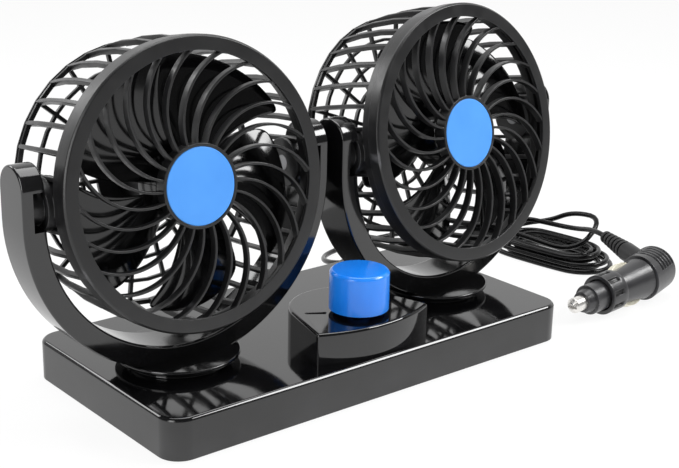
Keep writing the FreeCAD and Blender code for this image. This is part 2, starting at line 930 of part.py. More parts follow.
def rear_cage(side):
    """Basket behind the ring: bowed bars that lean in to a band at the back, rings and spokes across the
    back, a plate for the motor in the middle and a pivot boss on each side."""
    body = new_body(f"{side}_rear_cage")
    shoulder = f"({FLANGE_RADIUS} - flange_step)"
    tail = f"({shoulder} - bar_taper)"
    bar_low = f"({CAGE_BACK} + band_width / 2)"
    bar_high = f"({FLANGE_BACK} + flange_width / 2)"
    rear_ring(body, tail, CAGE_BACK, "band_width", "band_wall")
    for step in range(REAR_RINGS):
        radius = f"rear_radius - {step} * rear_ring_step"
        rear_ring(body, radius, CAGE_BACK, "rear_thickness", "rear_ring_width")
    spoke = sketch(body, "XY", CAGE_BACK)
    spoke_end = f"({tail} - band_wall / 2)"
    rectangle(spoke, "motor_plate_radius - spoke_width", spoke_end, "-spoke_width / 2", "spoke_width / 2")
    spokes = pad(body, spoke, "rear_thickness")
    polar(body, [spokes], "spoke_count")
    plate = sketch(body, "XY", CAGE_BACK)
    circle(plate, "0", "0", "motor_plate_radius")
    for turn in ("-1", "1"):
        circle(plate, f"{turn} * motor_screw_spread", "0", "screw_radius + fit_gap")
    pad(body, plate, "rear_thickness")
    flange = sketch(body, "XZ")
    rectangle(flange, f"{FLANGE_RADIUS} - flange_wall", FLANGE_RADIUS, FLANGE_BACK, RING_BACK)
    revolve(body, flange)
    boss = sketch(body, "YZ", "boss_root")
    circle(boss, "0", "0", "boss_radius")
    bosses = pad(body, boss, "yoke_inner - 2 * moving_gap - boss_root")
    stub = sketch(body, "YZ", "boss_root")
    circle(stub, "0", "0", "stub_radius")
    stubs = pad(body, stub, "yoke_inner + notch_depth - 2 * moving_gap - boss_root")
    mirror(body, [bosses, stubs])
    bar = sketch(body, "XZ")
    rise = [
        (
            f"({tail} + bar_taper * {share} + bar_bow * {4 * share * (1 - share)})",
            f"{bar_low} + ({bar_high} - {bar_low}) * {share}",
        )
        for share in (0, 1 / 3, 2 / 3, 1)
    ]
    inside = [(f"{reach} - bar_depth", height) for reach, height in rise]
    outline(bar, inside + rise[::-1])
    bars = pad(body, bar, "bar_width", both_ways=True)
    polar(body, [bars], "bar_count")
    bore = sketch(body, "YZ")
    circle(bore, "0", "0", "pivot_radius + screw_fit")
    cut(body, bore, "4 * yoke_inner", both_ways=True)
    return keep(f"{side}_rear_cage", body, head_place(side))


def pivot_pins(side):
    """Two pins that carry the head in the arms."""
    body = new_body(f"{side}_pivot_pins")
    drawing = sketch(body, "YZ", "boss_root")
    circle(drawing, "0", "0", "pivot_radius")
    pins = pad(body, drawing, "yoke_inner + notch_depth + pivot_engaged - boss_root")
    mirror(body, [pins])
    return keep(f"{side}_pivot_pins", body, head_place(side))


MOTOR_BACK = f"({CAGE_BACK} + rear_thickness)"
MOTOR_FRONT = f"({MOTOR_BACK} + motor_length)"
AXLE_END = f"({MOTOR_FRONT} + motor_nose + axle_length)"


def motor(side):
    """Small canned motor on the cage's plate, held by two screws from behind, with its axle."""
    place = head_place(side)
    body = turned_body(
        f"{side}_motor",
        [
            ("0", MOTOR_BACK),
            ("motor_radius", MOTOR_BACK),
            ("motor_radius", f"{MOTOR_FRONT} - motor_nose"),
            ("motor_radius - motor_nose", MOTOR_FRONT),
            ("motor_nose_radius", MOTOR_FRONT),
            ("motor_nose_radius", f"{MOTOR_FRONT} + motor_nose"),
            ("axle_radius + running_gap", f"{MOTOR_FRONT} + motor_nose"),
            ("axle_radius + running_gap", f"{MOTOR_FRONT} - motor_length / 2"),
            ("0", f"{MOTOR_FRONT} - motor_length / 2"),
        ],
        place,
    )
    pilots = sketch(body, "XY", MOTOR_BACK)
    for turn in ("-1", "1"):
        circle(pilots, f"{turn} * motor_screw_spread", "0", "screw_radius + screw_fit")
    cut(body, pilots, "screw_length / 2 + moving_gap", reverse=True)
    screws = new_body(f"{side}_motor_screws")
    for radius, length, reverse in (
        ("screw_radius", "rear_thickness + screw_length / 2", False),
        ("screw_head_radius", "screw_head_height", True),
    ):
        drawing = sketch(screws, "XY", CAGE_BACK)
        for turn in ("-1", "1"):
            hexagon(drawing, f"{turn} * motor_screw_spread", "0", radius)
        pad(screws, drawing, length, reverse=reverse)
    keep(f"{side}_motor_screws", screws, place)
    low = f"({MOTOR_FRONT} - motor_length / 2 + moving_gap)"
    turned_body(
        f"{side}_motor_axle",
        [("0", low), ("axle_radius", low), ("axle_radius", AXLE_END), ("0", AXLE_END)],
        place,
    )


HUB_FRONT = f"({AXLE_END} + impeller_wall)"
BLADE_MIDDLE = f"({HUB_FRONT} - impeller_depth / 2 - impeller_wall)"


def blade_section(body, reach, chord, angle):
    """A thin arched section of a blade, drawn square to the radius."""
    drawing = sketch(body, "YZ", reach)
    arch = f"({chord} ^ 2 / (8 * blade_bow) + blade_bow / 2)"
    corners = []
    for along, aside, bend in (
        ("-1", "0", arch),
        ("1", "0", None),
        ("1", "1", f"-({arch} - blade_thickness)"),
        ("-1", "1", None),
    ):
        forward = f"({along} * {chord} / 2)"
        lift = f"({aside} * blade_thickness)"
        corner = (
            f"{forward} * cos({angle}) - {lift} * sin({angle})",
            f"{BLADE_MIDDLE} + {forward} * sin({angle}) + {lift} * cos({angle})",
        )
        corners.append(corner + (bend,) if bend else corner)
    outline(drawing, corners)
    return drawing


def impeller(side):
    """Cup shaped hub over the motor's nose, with broad twisted blades."""
    body = new_body(f"{side}_impeller")
    hub = sketch(body, "XZ")
    boss = "(axle_radius + 2 * impeller_wall)"
    back = f"({HUB_FRONT} - impeller_depth)"
    outline(
        hub,
        [
            ("0", f"{AXLE_END} + moving_gap"),
            ("axle_radius + screw_fit", f"{AXLE_END} + moving_gap"),
            ("axle_radius + screw_fit", f"{MOTOR_FRONT} + motor_nose + 4 * moving_gap"),
            (boss, f"{MOTOR_FRONT} + motor_nose + 4 * moving_gap"),
            (boss, f"{HUB_FRONT} - impeller_wall"),
            ("impeller_hub - impeller_wall", f"{HUB_FRONT} - impeller_wall"),
            ("impeller_hub - impeller_wall", back),
            ("impeller_hub", back),
            ("impeller_hub", f"{HUB_FRONT} - impeller_wall"),
            ("impeller_hub - impeller_wall", HUB_FRONT),
            ("0", HUB_FRONT),
        ],
    )
    revolve(body, hub)
    root = blade_section(body, "impeller_hub - 1.4 * impeller_wall", "root_chord", "root_angle")
    tip = blade_section(body, "blade_tip", "tip_chord", "tip_angle")
    blade = add_feature(body, "AdditiveLoft", root)
    blade.Sections = [(tip, [""])]
    blade.Ruled = True
    doc.recompute()
    polar(body, [blade], "blade_count")
    return keep(f"{side}_impeller", body, head_place(side))


PLUG_PLACE = (
    "placement(vector(plug_x; plug_y; plug_z); rotation(vector(0; 0; 1); plug_turn))"
    " * placement(vector(0; 0; 0); rotation(vector(0; 1; 0); -90 - plug_dip))"
)
CAP_PLACE = f"{PLUG_PLACE} * placement(vector(0; 0; 0); rotation(vector(1; 0; 0); 180 + cap_bend))"
BOOT_PLACE = (
    "placement(vector(plug_x + boot_back; plug_y + boot_aside; plug_z + boot_up);"
    " rotation(vector(0; 0; 1); -boot_turn))"
    " * placement(vector(0; 0; 0); rotation(vector(1; 0; 0); boot_rise - 90))"
)
BOOT_LENGTH = "(boot_plain + boot_ribs * boot_rib_step)"
COLLAR_FRONT = "(barrel_length + collar_length)"
NOSE_FRONT = f"({COLLAR_FRONT} + nose_length)"
TIP_STOP = f"({COLLAR_FRONT} + nose_groove + tip_travel + 2 * moving_gap)"
TIP_BACK = f"({TIP_STOP} - nose_groove)"
CONTACT_MIDDLE = "(barrel_length * 0.58)"


def contact_place(turn):
    return (
        f"{PLUG_PLACE} * placement(vector(0; 0; {CONTACT_MIDDLE});"
        f" rotation(vector(0; 0; 1); contact_angle + {turn}))"
    )


def bored(label, body, holes):
    """A body less several cylinders, each given by its radius, height and placement."""
    tools = []
    for radius, height, place in holes:
        tool = doc.addObject("Part::Cylinder", label + "_hole")
        tie(tool, Radius=radius, Height=height, Placement=place)
        tools.append(tool)
    joined = doc.addObject("Part::MultiFuse", label + "_holes")
    joined.Shapes = tools
    made = doc.addObject("Part::Cut", label + "_bored")
    made.Base = body
    made.Tool = joined
    doc.recompute()
    return keep(label, made)


def plug_cap():
    """Cap of the plug, bent away from the barrel, with finger grooves on top and a hole for the boot."""
    body = new_body("plug_cap_body")
    drawing = sketch(body, "XZ")
    outline(
        drawing,
        [
            ("0", "-neck_length"),
            ("cap_radius", "-neck_length"),
            ("cap_radius", "cap_length - cap_edge"),
            ("cap_radius - cap_edge", "cap_length"),
            ("0", "cap_length"),
        ],
    )
    revolve(body, drawing)
    grooves = sketch(body, "XZ")
    for step in range(SIZES["cap_grooves"]):
        middle = f"(cap_length - cap_edge - ({step} + 0.5) * cap_groove_step)"
        outline(
            grooves,
            [
                ("cap_radius + cap_groove_depth", f"{middle} - cap_groove_width"),
                ("cap_radius + cap_groove_depth", f"{middle} + cap_groove_width"),
                ("cap_radius - cap_groove_depth", middle),
            ],
        )
    groove = add_feature(body, "Groove", grooves, Angle="cap_groove_sweep")
    groove.ReferenceAxis = (grooves, ["V_Axis"])
    groove.Midplane = True
    tie(body, Placement=CAP_PLACE)
    ahead = f"{PLUG_PLACE} * placement(vector(0; 0; -cap_gap); rotation(vector(0; 0; 1); 0))"
    inside = f"{PLUG_PLACE} * placement(vector(0; 0; -neck_length - fit_gap); rotation(vector(0; 0; 1); 0))"
    bored(
        "plug_cap",
        body,
        [
            ("2 * cap_radius", "2 * neck_length", ahead),
            ("neck_radius + fit_gap", "2 * neck_length", inside),
            ("boot_radius + fit_gap", BOOT_LENGTH, BOOT_PLACE),
        ],
    )


def plug_boot():
    """Ribbed strain relief from the cap to the cord."""
    ribs = [("0", "0"), ("boot_radius", "0"), ("boot_radius", "boot_plain")]
    for step in range(SIZES["boot_ribs"]):
        low = f"(boot_plain + {step} * boot_rib_step)"
        high = f"({low} + boot_rib_step * 0.4)"
        reach = f"(boot_radius - (boot_radius - boot_end) * ({step} + 1) / boot_ribs)"
        ribs.append((f"{reach} - boot_rib_depth", low))
        ribs.append((f"{reach} - boot_rib_depth", high))
        ribs.append((reach, high))
        ribs.append((reach, f"{low} + boot_rib_step"))
    ribs.append(("0", BOOT_LENGTH))
    turned_body("plug_boot", ribs, BOOT_PLACE)


def plug_barrel():
    """Barrel with a slot on each side for a contact, and a bore for the fuse."""
    fuse_room = f"({TIP_BACK} - fuse_length - tip_travel - 2 * moving_gap)"
    fuse_bore = "(fuse_radius + 2 * moving_gap)"
    body = turned_body(
        "plug_barrel",
        [
            ("0", "-neck_length"),
            ("neck_radius", "-neck_length"),
            ("neck_radius", "0"),
            ("barrel_radius + barrel_flare", "0"),
            ("barrel_radius", "barrel_length"),
            ("neck_radius", "barrel_length"),
            ("neck_radius", COLLAR_FRONT),
            (fuse_bore, COLLAR_FRONT),
            (fuse_bore, fuse_room),
            ("0", fuse_room),
        ],
        f"{PLUG_PLACE} * placement(vector(0; 0; 0); rotation(vector(0; 0; 1); contact_angle))",
    )
    slots = sketch(body, "XZ")
    for side in ("-", ""):
        floor = f"{side}(barrel_radius - contact_depth - contact_travel - moving_gap)"
        top = f"{side}(barrel_radius + contact_rise)"
        low, high = (top, floor) if side else (floor, top)
        rectangle(
            slots,
            low,
            high,
            f"{CONTACT_MIDDLE} - contact_length / 2 - moving_gap",
            f"{CONTACT_MIDDLE} + contact_length / 2 + moving_gap",
        )
    cut(body, slots, "contact_width + 2 * moving_gap", both_ways=True)


def plug_contacts():
    """Bowed side contacts, which press into the barrel."""
    bow = "(contact_length ^ 2 / (8 * contact_rise) + contact_rise / 2)"
    for label, turn in (("plug_contact_lower", 0), ("plug_contact_upper", 180)):
        body = new_body(label)
        drawing = sketch(body, "XZ")
        outline(
            drawing,
            [
                ("barrel_radius - contact_depth", "-contact_length / 2"),
                ("barrel_radius", "-contact_length / 2", bow),
                ("barrel_radius", "contact_length / 2"),
                ("barrel_radius - contact_depth", "contact_length / 2"),
            ],
        )
        pad(body, drawing, "contact_width", both_ways=True)
        keep(label, body, contact_place(turn))


def plug_front():
    """Notched collar, nose, sprung tip with a slot across it, and the fuse behind it."""
    collar = turned_body(
        "plug_collar",
        [
            ("neck_radius + fit_gap", "barrel_length"),
            ("collar_radius", "barrel_length"),
            ("collar_radius", COLLAR_FRONT),
            ("neck_radius + fit_gap", COLLAR_FRONT),
        ],
        PLUG_PLACE,
    )
    notch = sketch(collar, "XY", COLLAR_FRONT)
    floor = "collar_radius - collar_notch"
    rectangle(notch, floor, "collar_radius + collar_notch", "-collar_notch * 0.7", "collar_notch * 0.7")
    notches = cut(collar, notch, "collar_length * 0.7")
    polar(collar, [notches], "collar_notches")
    turned_body(
        "plug_nose",
        [
            ("tip_flange + moving_gap", COLLAR_FRONT),
            ("nose_radius - nose_groove / 2", COLLAR_FRONT),
            ("nose_radius - nose_groove / 2", f"{COLLAR_FRONT} + nose_groove"),
            ("nose_radius", f"{COLLAR_FRONT} + nose_groove"),
            ("nose_radius", f"{NOSE_FRONT} - nose_cone"),
            ("nose_shoulder", f"{NOSE_FRONT} - nose_cone"),
            ("nose_lip", NOSE_FRONT),
            ("tip_radius + running_gap", NOSE_FRONT),
            ("tip_radius + running_gap", f"{TIP_STOP} + moving_gap"),
            ("tip_flange + moving_gap", f"{TIP_STOP} + moving_gap"),
        ],
        PLUG_PLACE,
    )
    tip = turned_body(
        "plug_tip",
        [
            ("0", TIP_BACK),
            ("tip_flange", TIP_BACK),
            ("tip_flange", TIP_STOP),
            ("tip_radius", TIP_STOP),
            ("tip_radius", f"{NOSE_FRONT} + tip_reach - tip_radius / 2"),
            ("tip_radius / 2", f"{NOSE_FRONT} + tip_reach"),
            ("0", f"{NOSE_FRONT} + tip_reach"),
        ],
        PLUG_PLACE,
    )
    slot = sketch(tip, "XY", f"{NOSE_FRONT} + tip_reach")
    rectangle(slot, "-tip_slot / 2", "tip_slot / 2", "-2 * tip_radius", "2 * tip_radius")
    cut(tip, slot, "tip_slot")
    turned_body(
        "plug_fuse",
        [
            ("0", f"{TIP_BACK} - fuse_length"),
            ("fuse_radius", f"{TIP_BACK} - fuse_length"),
            ("fuse_radius", TIP_BACK),
            ("0", TIP_BACK),
        ],
        PLUG_PLACE,
    )


def tube(label, edges):
    """A cord along tangent lines and arcs, with a square section as large as its round one. Returns points
    along it for measuring gaps."""
    path = Part.Wire(edges)
    start = edges[0].valueAt(edges[0].FirstParameter)
    heading = edges[0].tangentAt(edges[0].FirstParameter)
    aside = FreeCAD.Vector(0, 0, 1).cross(heading).normalize()
    above = heading.cross(aside)
    radius = value("cord_radius")
    half = radius * math.sqrt(math.pi) / 2
    corners = [
        start + aside * half * across + above * half * up
        for across, up in ((-1, -1), (1, -1), (1, 1), (-1, 1), (-1, -1))
    ]
    item = doc.addObject("Part::Feature", label)
    item.Shape = path.makePipeShell([Part.makePolygon(corners)], True, False)
    share = item.Shape.Volume / (4 * half ** 2 * path.Length)
    print(f"{label}: length {path.Length:.0f}, volume over section times length {share:.3f}")
    keep(label, item)
    return [point for edge in edges for point in edge.discretize(Distance=radius)]


def rounded_route(points):
    """Edges of a route of straight runs with an arc at each bend."""
    edges = []
    radii = []
    here = points[0]
    for before, bend, after in zip(points, points[1:], points[2:]):
        come = (bend - before).normalize()
        leave = (after - bend).normalize()
        half_turn = come.getAngle(leave) / 2
        reach = 0.45 * min((bend - before).Length, (after - bend).Length)
        radius = reach / math.tan(half_turn)
        radii.append(radius)
        enter = bend - come * reach
        away = bend + leave * reach
        inward = (leave - come).normalize()
        middle = bend + inward * (radius / math.cos(half_turn) - radius)
        edges.append(Part.makeLine(here, enter))
        edges.append(Part.Arc(enter, middle, away).toShape())
        here = away
    edges.append(Part.makeLine(here, points[-1]))
    print(f"least bend radius {min(radii):.1f}")
    return edges


def hank_runs():
    """Where the hank's long sides lie, across and up, in the order that the cord passes along them. Its
    turns step inwards on the floor, then outwards again on top, leaning up at the back."""
    width = value("hank_width")
    step = value("hank_step")
    front = value("hank_width + hank_front")
    low = value("cord_radius + cord_lift")
    high = low + value("2 * cord_radius + cord_gap")
    lean = value("hank_lean")
    laps = SIZES["hank_laps"]
    runs = []
    for turn in range(laps):
        runs.append((width - turn * step, low))
        runs.append((turn * step - front, low))
    for turn in (laps, laps - 1):
        runs.append((width - turn * step, high + (laps - turn) * lean))
        runs.append(((turn - 1) * step - front, high))
    runs.append((width - step, high + 2 * lean))
    return runs


def cord():
    """The cord: from the gland along the floor to the hank, its turns, and a risen loop to the boot."""
    place = FreeCAD.Placement(
        FreeCAD.Vector(value("hank_x"), value("hank_y"), 0),
        FreeCAD.Rotation(FreeCAD.Vector(0, 0, 1), value("hank_turn")),
    )

    def spot(along, across, up):
        return place.multVec(FreeCAD.Vector(along, across, up))

    runs = hank_runs()
    flat_turns = 2 * SIZES["hank_laps"]
    straight = value("2 * cord_radius")
    near = value("hank_near")
    far = value("hank_far")
    edges = []
    here = spot(-far - straight, *runs[0])
    start = here
    for number, (first, second) in enumerate(zip(runs, runs[1:])):
        back = number % 2 == 0
        set_by = value("hank_set") if number >= flat_turns else 0
        edge = near - set_by if back else -far - set_by
        sign = 1 if back else -1
        reach = math.hypot(second[0] - first[0], second[1] - first[1]) / 2

        def on_turn(angle):
            share = (1 - math.cos(angle)) / 2
            across = first[0] + (second[0] - first[0]) * share
            up = first[1] + (second[1] - first[1]) * share
            return spot(edge + sign * reach * math.sin(angle), across, up)

        sweep = math.pi if number + 2 < len(runs) else math.pi / 2
        edges.append(Part.makeLine(here, on_turn(0)))
        edges.append(Part.Arc(on_turn(0), on_turn(sweep / 2), on_turn(sweep)).toShape())
        here = on_turn(sweep)
    heading = edges[-1].tangentAt(edges[-1].LastParameter)
    end = here + heading * straight
    edges.append(Part.makeLine(here, end))
    hank_points = tube("cord_hank", edges)

    low = runs[0][1]
    gland_end = value("base_depth / 2 + gland_lip + gland_sleeve")
    gland_x = value("gland_x")
    gland_z = value("gland_z")
    out = gland_end + value("tail_out")
    turn = value("tail_turn")
    rear = value("tail_back")
    beside = start.x - gland_x
    tail_points = tube(
        "cord_tail",
        rounded_route(
            [
                FreeCAD.Vector(gland_x, gland_end, gland_z),
                FreeCAD.Vector(gland_x, out, gland_z / 2),
                FreeCAD.Vector(gland_x + turn, rear - turn / 4, low),
                FreeCAD.Vector(gland_x + beside * 0.42, rear, low),
                FreeCAD.Vector(gland_x + beside * 0.73, rear - turn / 3, low),
                spot(-far - straight - 2 * value("tail_out"), *runs[0]),
                start,
            ]
        ),
    )

    boot = node_items["plug_boot"].Placement
    boot_end = boot.multVec(FreeCAD.Vector(0, 0, value(BOOT_LENGTH)))
    boot_ahead = boot.multVec(FreeCAD.Vector(0, 0, value(BOOT_LENGTH) + value("hank_near")))
    behind = value("loop_back")
    before = -value("loop_front")
    loop_near = value("loop_near")
    loop_far = -value("loop_far")
    loop_end = -value("loop_end")
    top = value("loop_top")
    bottom = value("loop_low")
    lead_points = tube(
        "cord_lead",
        rounded_route(
            [
                end,
                end + heading * value("hank_width - hank_step") * 0.75,
                spot(loop_far - value("hank_set"), behind, (top + end.z) * 0.4),
                spot(-value("hank_step"), behind, top - value("cord_radius")),
                spot(loop_near, behind - value("hank_step") * 0.6, top),
                spot(loop_near, before, bottom - value("cord_radius")),
                spot(loop_end, before, bottom + value("cord_radius")),
                spot(loop_end, behind * 0.6, bottom + value("3 * cord_radius")),
                spot(value("hank_step") * 0.8, behind * 0.62, (top + bottom) * 0.45),
                boot_ahead,
                boot_end,
            ]
        ),
    )
    report_gaps(hank_points, tail_points, lead_points)


def report_gaps(hank, tail, lead):
    """Print the least gap of the cord to itself, leaving out each point's own neighbours."""
    points = tail + hank + lead
    skip = 14
    least = min(
        (points[first] - points[second]).Length
        for first in range(len(points))
        for second in range(first + skip, len(points))
    )
    print(f"least gap of the cord to itself {least - value('2 * cord_radius'):.2f}")


def build_pieces():
    base_cover()
    base_plate()
    base_screws()
    foot_pads()
    switch_housing()
    rotary_switch()
    knob()
    speed_resistor()
    cord_gland()
    plug_cap()
    plug_boot()
    plug_barrel()
    plug_contacts()
    plug_front()
    doc.recompute()
    cord()
    for side in SIDES:
        yoke(side)
        swivel_fixings(side)
        front_grille(side)
        hub_badge(side)
        rear_cage(side)
        pivot_pins(side)
        motor(side)
        impeller(side)


build_pieces()
doc.recompute()

faults = [item.Name for item in doc.Objects if {"Invalid", "Error"} & set(item.State)]
if faults:
    raise RuntimeError(f"failed features: {faults}")
os.makedirs("parts", exist_ok=True)
for label, item in node_items.items():
    if item.Shape.isNull() or not item.Shape.isValid() or not item.Shape.Solids:
        raise RuntimeError(f"{label} is not a valid solid")
for label, item in node_items.items():
    item.Shape.exportStep(f"parts/{label}.step")
print(f"{len(node_items)} sub-parts written")
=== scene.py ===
# %% [markdown]
# # Dual head car fan
# Two caged fans stand on one flat base, each in a fork that swivels on a round table. A blue knob sets the
# speed, and a thin lead with a vehicle plug feeds them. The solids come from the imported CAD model, which is
# loaded first and never moved. This lesson dresses them: camera and light, then the finishes and the cord,
# then each moulding with its soft edges. Fans, forks and the plug's collar are modelled anew.

# %% Load the frame
import json
import math

import bpy
from mathutils import Matrix, Vector


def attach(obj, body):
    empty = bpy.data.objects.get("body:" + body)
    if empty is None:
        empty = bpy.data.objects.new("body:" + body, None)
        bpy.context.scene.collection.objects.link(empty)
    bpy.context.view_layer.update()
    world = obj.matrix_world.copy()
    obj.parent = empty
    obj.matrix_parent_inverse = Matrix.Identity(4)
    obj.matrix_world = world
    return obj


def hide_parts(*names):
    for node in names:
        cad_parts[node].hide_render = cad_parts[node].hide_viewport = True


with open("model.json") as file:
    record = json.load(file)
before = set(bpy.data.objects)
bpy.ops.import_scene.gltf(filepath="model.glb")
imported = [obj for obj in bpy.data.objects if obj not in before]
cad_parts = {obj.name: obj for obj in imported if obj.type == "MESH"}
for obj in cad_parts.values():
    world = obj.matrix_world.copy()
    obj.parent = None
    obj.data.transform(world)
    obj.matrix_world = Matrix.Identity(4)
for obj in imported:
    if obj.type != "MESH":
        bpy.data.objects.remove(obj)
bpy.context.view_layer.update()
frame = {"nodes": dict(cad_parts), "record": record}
nodes = frame["nodes"]
MM = 0.001
SIDES = ("left", "right")
behaviour = frame["record"]["behaviour"]
body_of_node = {node: body for body, members in behaviour["bodies"].items() for node in members}
joint_of = {joint["name"]: joint for joint in behaviour["joints"]}
slot_of_node = {part["node"]: part["material_slot"] for part in frame["record"]["subparts"]}

# %% [markdown]
# ## Camera
# The photograph was taken from the front left and a little above. A camera could be moved by eye until the
# outlines agree, but this one was found by matching known points of the object, which gives a place, three
# angles and a focal length in pixels. Blender wants the focal length in millimetres of a 36 mm wide sensor, so
# it is scaled by the picture's width.

# %% Camera
PHOTO_WIDTH = 679
FOCAL_PIXELS = 1345.4
SENSOR = 36
CAMERA_PLACE = Vector((-439.3, -552.1, 297.5)) * MM
YAW = math.radians(39.79)
PITCH = math.radians(17.7)
ROLL = math.radians(1.22)

camera = bpy.data.objects.new("camera", bpy.data.cameras.new("camera"))
bpy.context.scene.collection.objects.link(camera)
camera.data.sensor_width = SENSOR
camera.data.lens = FOCAL_PIXELS * SENSOR / PHOTO_WIDTH
forward = Vector((math.sin(YAW) * math.cos(PITCH), math.cos(YAW) * math.cos(PITCH), -math.sin(PITCH)))
level = Vector((math.cos(YAW), -math.sin(YAW), 0))
rise = level.cross(forward)
right = level * math.cos(ROLL) + rise * math.sin(ROLL)
up = rise * math.cos(ROLL) - level * math.sin(ROLL)
turn = Matrix((right, up, -forward)).transposed().to_4x4()
camera.matrix_world = Matrix.Translation(CAMERA_PLACE) @ turn
bpy.context.scene.camera = camera
print(f"lens {camera.data.lens:.1f} mm")

# %% [markdown]
# ## Shader nodes
# A material or a world is a tree of nodes. They could be added one by one, with a link for each, but the same
# few kinds come back all the time. So each kind has a helper that takes numbers or the sockets of other nodes,
# and returns the socket with its result. A Mix node has sockets for every kind of data, and those for numbers
# are picked out by their place in its list.

# %% Shader node helpers
FLOAT_SOCKETS = (0, 2, 3)


def feed(tree, socket, source):
    """Links a socket to its source, or sets it where the source is a value."""
    if isinstance(source, bpy.types.NodeSocket):
        tree.links.new(source, socket)
    else:
        socket.default_value = source


def maths(tree, operation, first, second):
    """What an operation, such as MULTIPLY or MAXIMUM, makes of two sources."""
    node = tree.nodes.new("ShaderNodeMath")
    node.operation = operation
    feed(tree, node.inputs[0], first)
    feed(tree, node.inputs[1], second)
    return node.outputs[0]


def stretch(tree, source, from_low, from_high, to_low=0, to_high=1):
    """A value moved from one range to another, and held at its ends."""
    scale = tree.nodes.new("ShaderNodeMapRange")
    names = ("Value", "From Min", "From Max", "To Min", "To Max")
    for name, number in zip(names, (source, from_low, from_high, to_low, to_high)):
        feed(tree, scale.inputs[name], number)
    return scale.outputs["Result"]


def between(tree, share, low, high):
    """A value that goes from low to high as share goes from nought to one."""
    scale = tree.nodes.new("ShaderNodeMix")
    scale.data_type = "FLOAT"
    for number, source in zip(FLOAT_SOCKETS, (share, low, high)):
        feed(tree, scale.inputs[number], source)
    return scale.outputs[0]


# %% [markdown]
# ## Room
# Black plastic shows mostly what it mirrors, so the light is part of its look. The photograph was taken on a
# white sweep in a dim room: rims seen at a slant mirror the white sweep behind, while faces turned to the
# camera mirror the dark room and stay black. Walls of plain planes could stand for that room, but the world's
# own light does it without any, if it is white behind the object and dim in front of it and above. Light Path
# tells the rays apart, so the camera itself always sees white.

# %% Sweep and dim room
ROOM = 0.1
SURROUND = 0.5
SWEEP_HEADING = (math.sin(YAW), math.cos(YAW), -0.25)
SWEEP_FROM = 0.1
SWEEP_FULL = 0.65


def mirror_rays(tree):
    """One for rays that a mirror image or clear plastic sends out, nought for the rest."""
    path = tree.nodes.new("ShaderNodeLightPath")
    return maths(tree, "MAXIMUM", path.outputs["Is Glossy Ray"], path.outputs["Is Transmission Ray"])


def camera_rays(tree):
    """One for rays that come straight from the camera, nought for the rest."""
    return tree.nodes.new("ShaderNodeLightPath").outputs["Is Camera Ray"]


world = bpy.data.worlds.new("sweep and dim room")
bpy.context.scene.world = world
world.use_nodes = True
tree = world.node_tree
sky = tree.nodes["Background"]
sky.inputs["Color"].default_value = (1, 1, 1, 1)
heading = tree.nodes.new("ShaderNodeTexCoord")
towards = tree.nodes.new("ShaderNodeVectorMath")
towards.operation = "DOT_PRODUCT"
towards.inputs[1].default_value = SWEEP_HEADING
tree.links.new(heading.outputs["Generated"], towards.inputs[0])
sweep = stretch(tree, towards.outputs["Value"], SWEEP_FROM, SWEEP_FULL, ROOM, 1)
mirrored = between(tree, mirror_rays(tree), SURROUND, sweep)
tree.links.new(between(tree, camera_rays(tree), mirrored, 1), sky.inputs["Strength"])
print(f"world of {len(tree.nodes)} nodes")

# %% [markdown]
# ## Floor
# The white sheet under the object takes its soft shadow. A plain white sheet would come out grey away from the
# lamps, so the camera and the mirror images see it mostly glowing, while it stays matt for all other light.
# From below it is clear, so that the underside of the base can be looked at.

# %% Floor
FLOOR_SIZE = 12
FLOOR_WHITE = 0.9
PAPER = (0.92, 0.92, 0.92, 1)

bpy.ops.object.select_all(action="DESELECT")
bpy.ops.mesh.primitive_plane_add(size=FLOOR_SIZE, location=(0, 0, 0))
floor = bpy.context.object
floor.name = "floor"
paper = bpy.data.materials.new("floor paper")
paper.use_nodes = True
tree = paper.node_tree
tree.nodes.clear()
matt = tree.nodes.new("ShaderNodeBsdfDiffuse")
matt.inputs["Color"].default_value = PAPER
glow = tree.nodes.new("ShaderNodeEmission")
clear = tree.nodes.new("ShaderNodeBsdfTransparent")
lit = tree.nodes.new("ShaderNodeMixShader")
one_sided = tree.nodes.new("ShaderNodeMixShader")
sheet = tree.nodes.new("ShaderNodeOutputMaterial")
seen = maths(tree, "MAXIMUM", camera_rays(tree), mirror_rays(tree))
from_below = tree.nodes.new("ShaderNodeNewGeometry").outputs["Backfacing"]
sources = (maths(tree, "MULTIPLY", seen, FLOOR_WHITE), matt.outputs[0], glow.outputs[0])
for socket, source in zip(lit.inputs, sources):
    tree.links.new(source, socket)
for socket, source in zip(one_sided.inputs, (from_below, lit.outputs[0], clear.outputs[0])):
    tree.links.new(source, socket)
tree.links.new(one_sided.outputs[0], sheet.inputs["Surface"])
floor.data.materials.append(paper)
print(f"floor paper of {len(tree.nodes)} nodes")

# %% [markdown]
# ## Soft boxes
# Large lamps with soft edges give the long bright lines on the rims and the forks. Small ones would give hard
# dots and sharp shadows. The colours are shown as they are, without a film look.

# %% Soft boxes
MIDDLE = Vector((0, 0, 0.09))


def soft_box(name, place, width, depth, power):
    """A rectangular lamp at a place, facing the middle of the object, in metres and watts."""
    lamp = bpy.data.lights.new(name, "AREA")
    lamp.shape = "RECTANGLE"
    lamp.size = width
    lamp.size_y = depth
    lamp.energy = power
    item = bpy.data.objects.new(name, lamp)
    item.location = place
    item.rotation_euler = (MIDDLE - Vector(place)).to_track_quat("-Z", "Y").to_euler()
    bpy.context.scene.collection.objects.link(item)


soft_box("box over the top", (0.1, 0.15, 1.1), width=1.1, depth=0.7, power=9)
soft_box("box at the front left", (-1.0, -0.35, 0.55), width=0.4, depth=0.9, power=4.5)
soft_box("box at the right", (0.85, -0.6, 0.95), width=0.6, depth=0.4, power=10)
soft_box("box behind on the left", (-0.5, 0.95, 0.75), width=0.5, depth=0.4, power=3)
bpy.context.scene.view_settings.view_transform = "Standard"
print(f"{len(bpy.data.lights)} lamps")

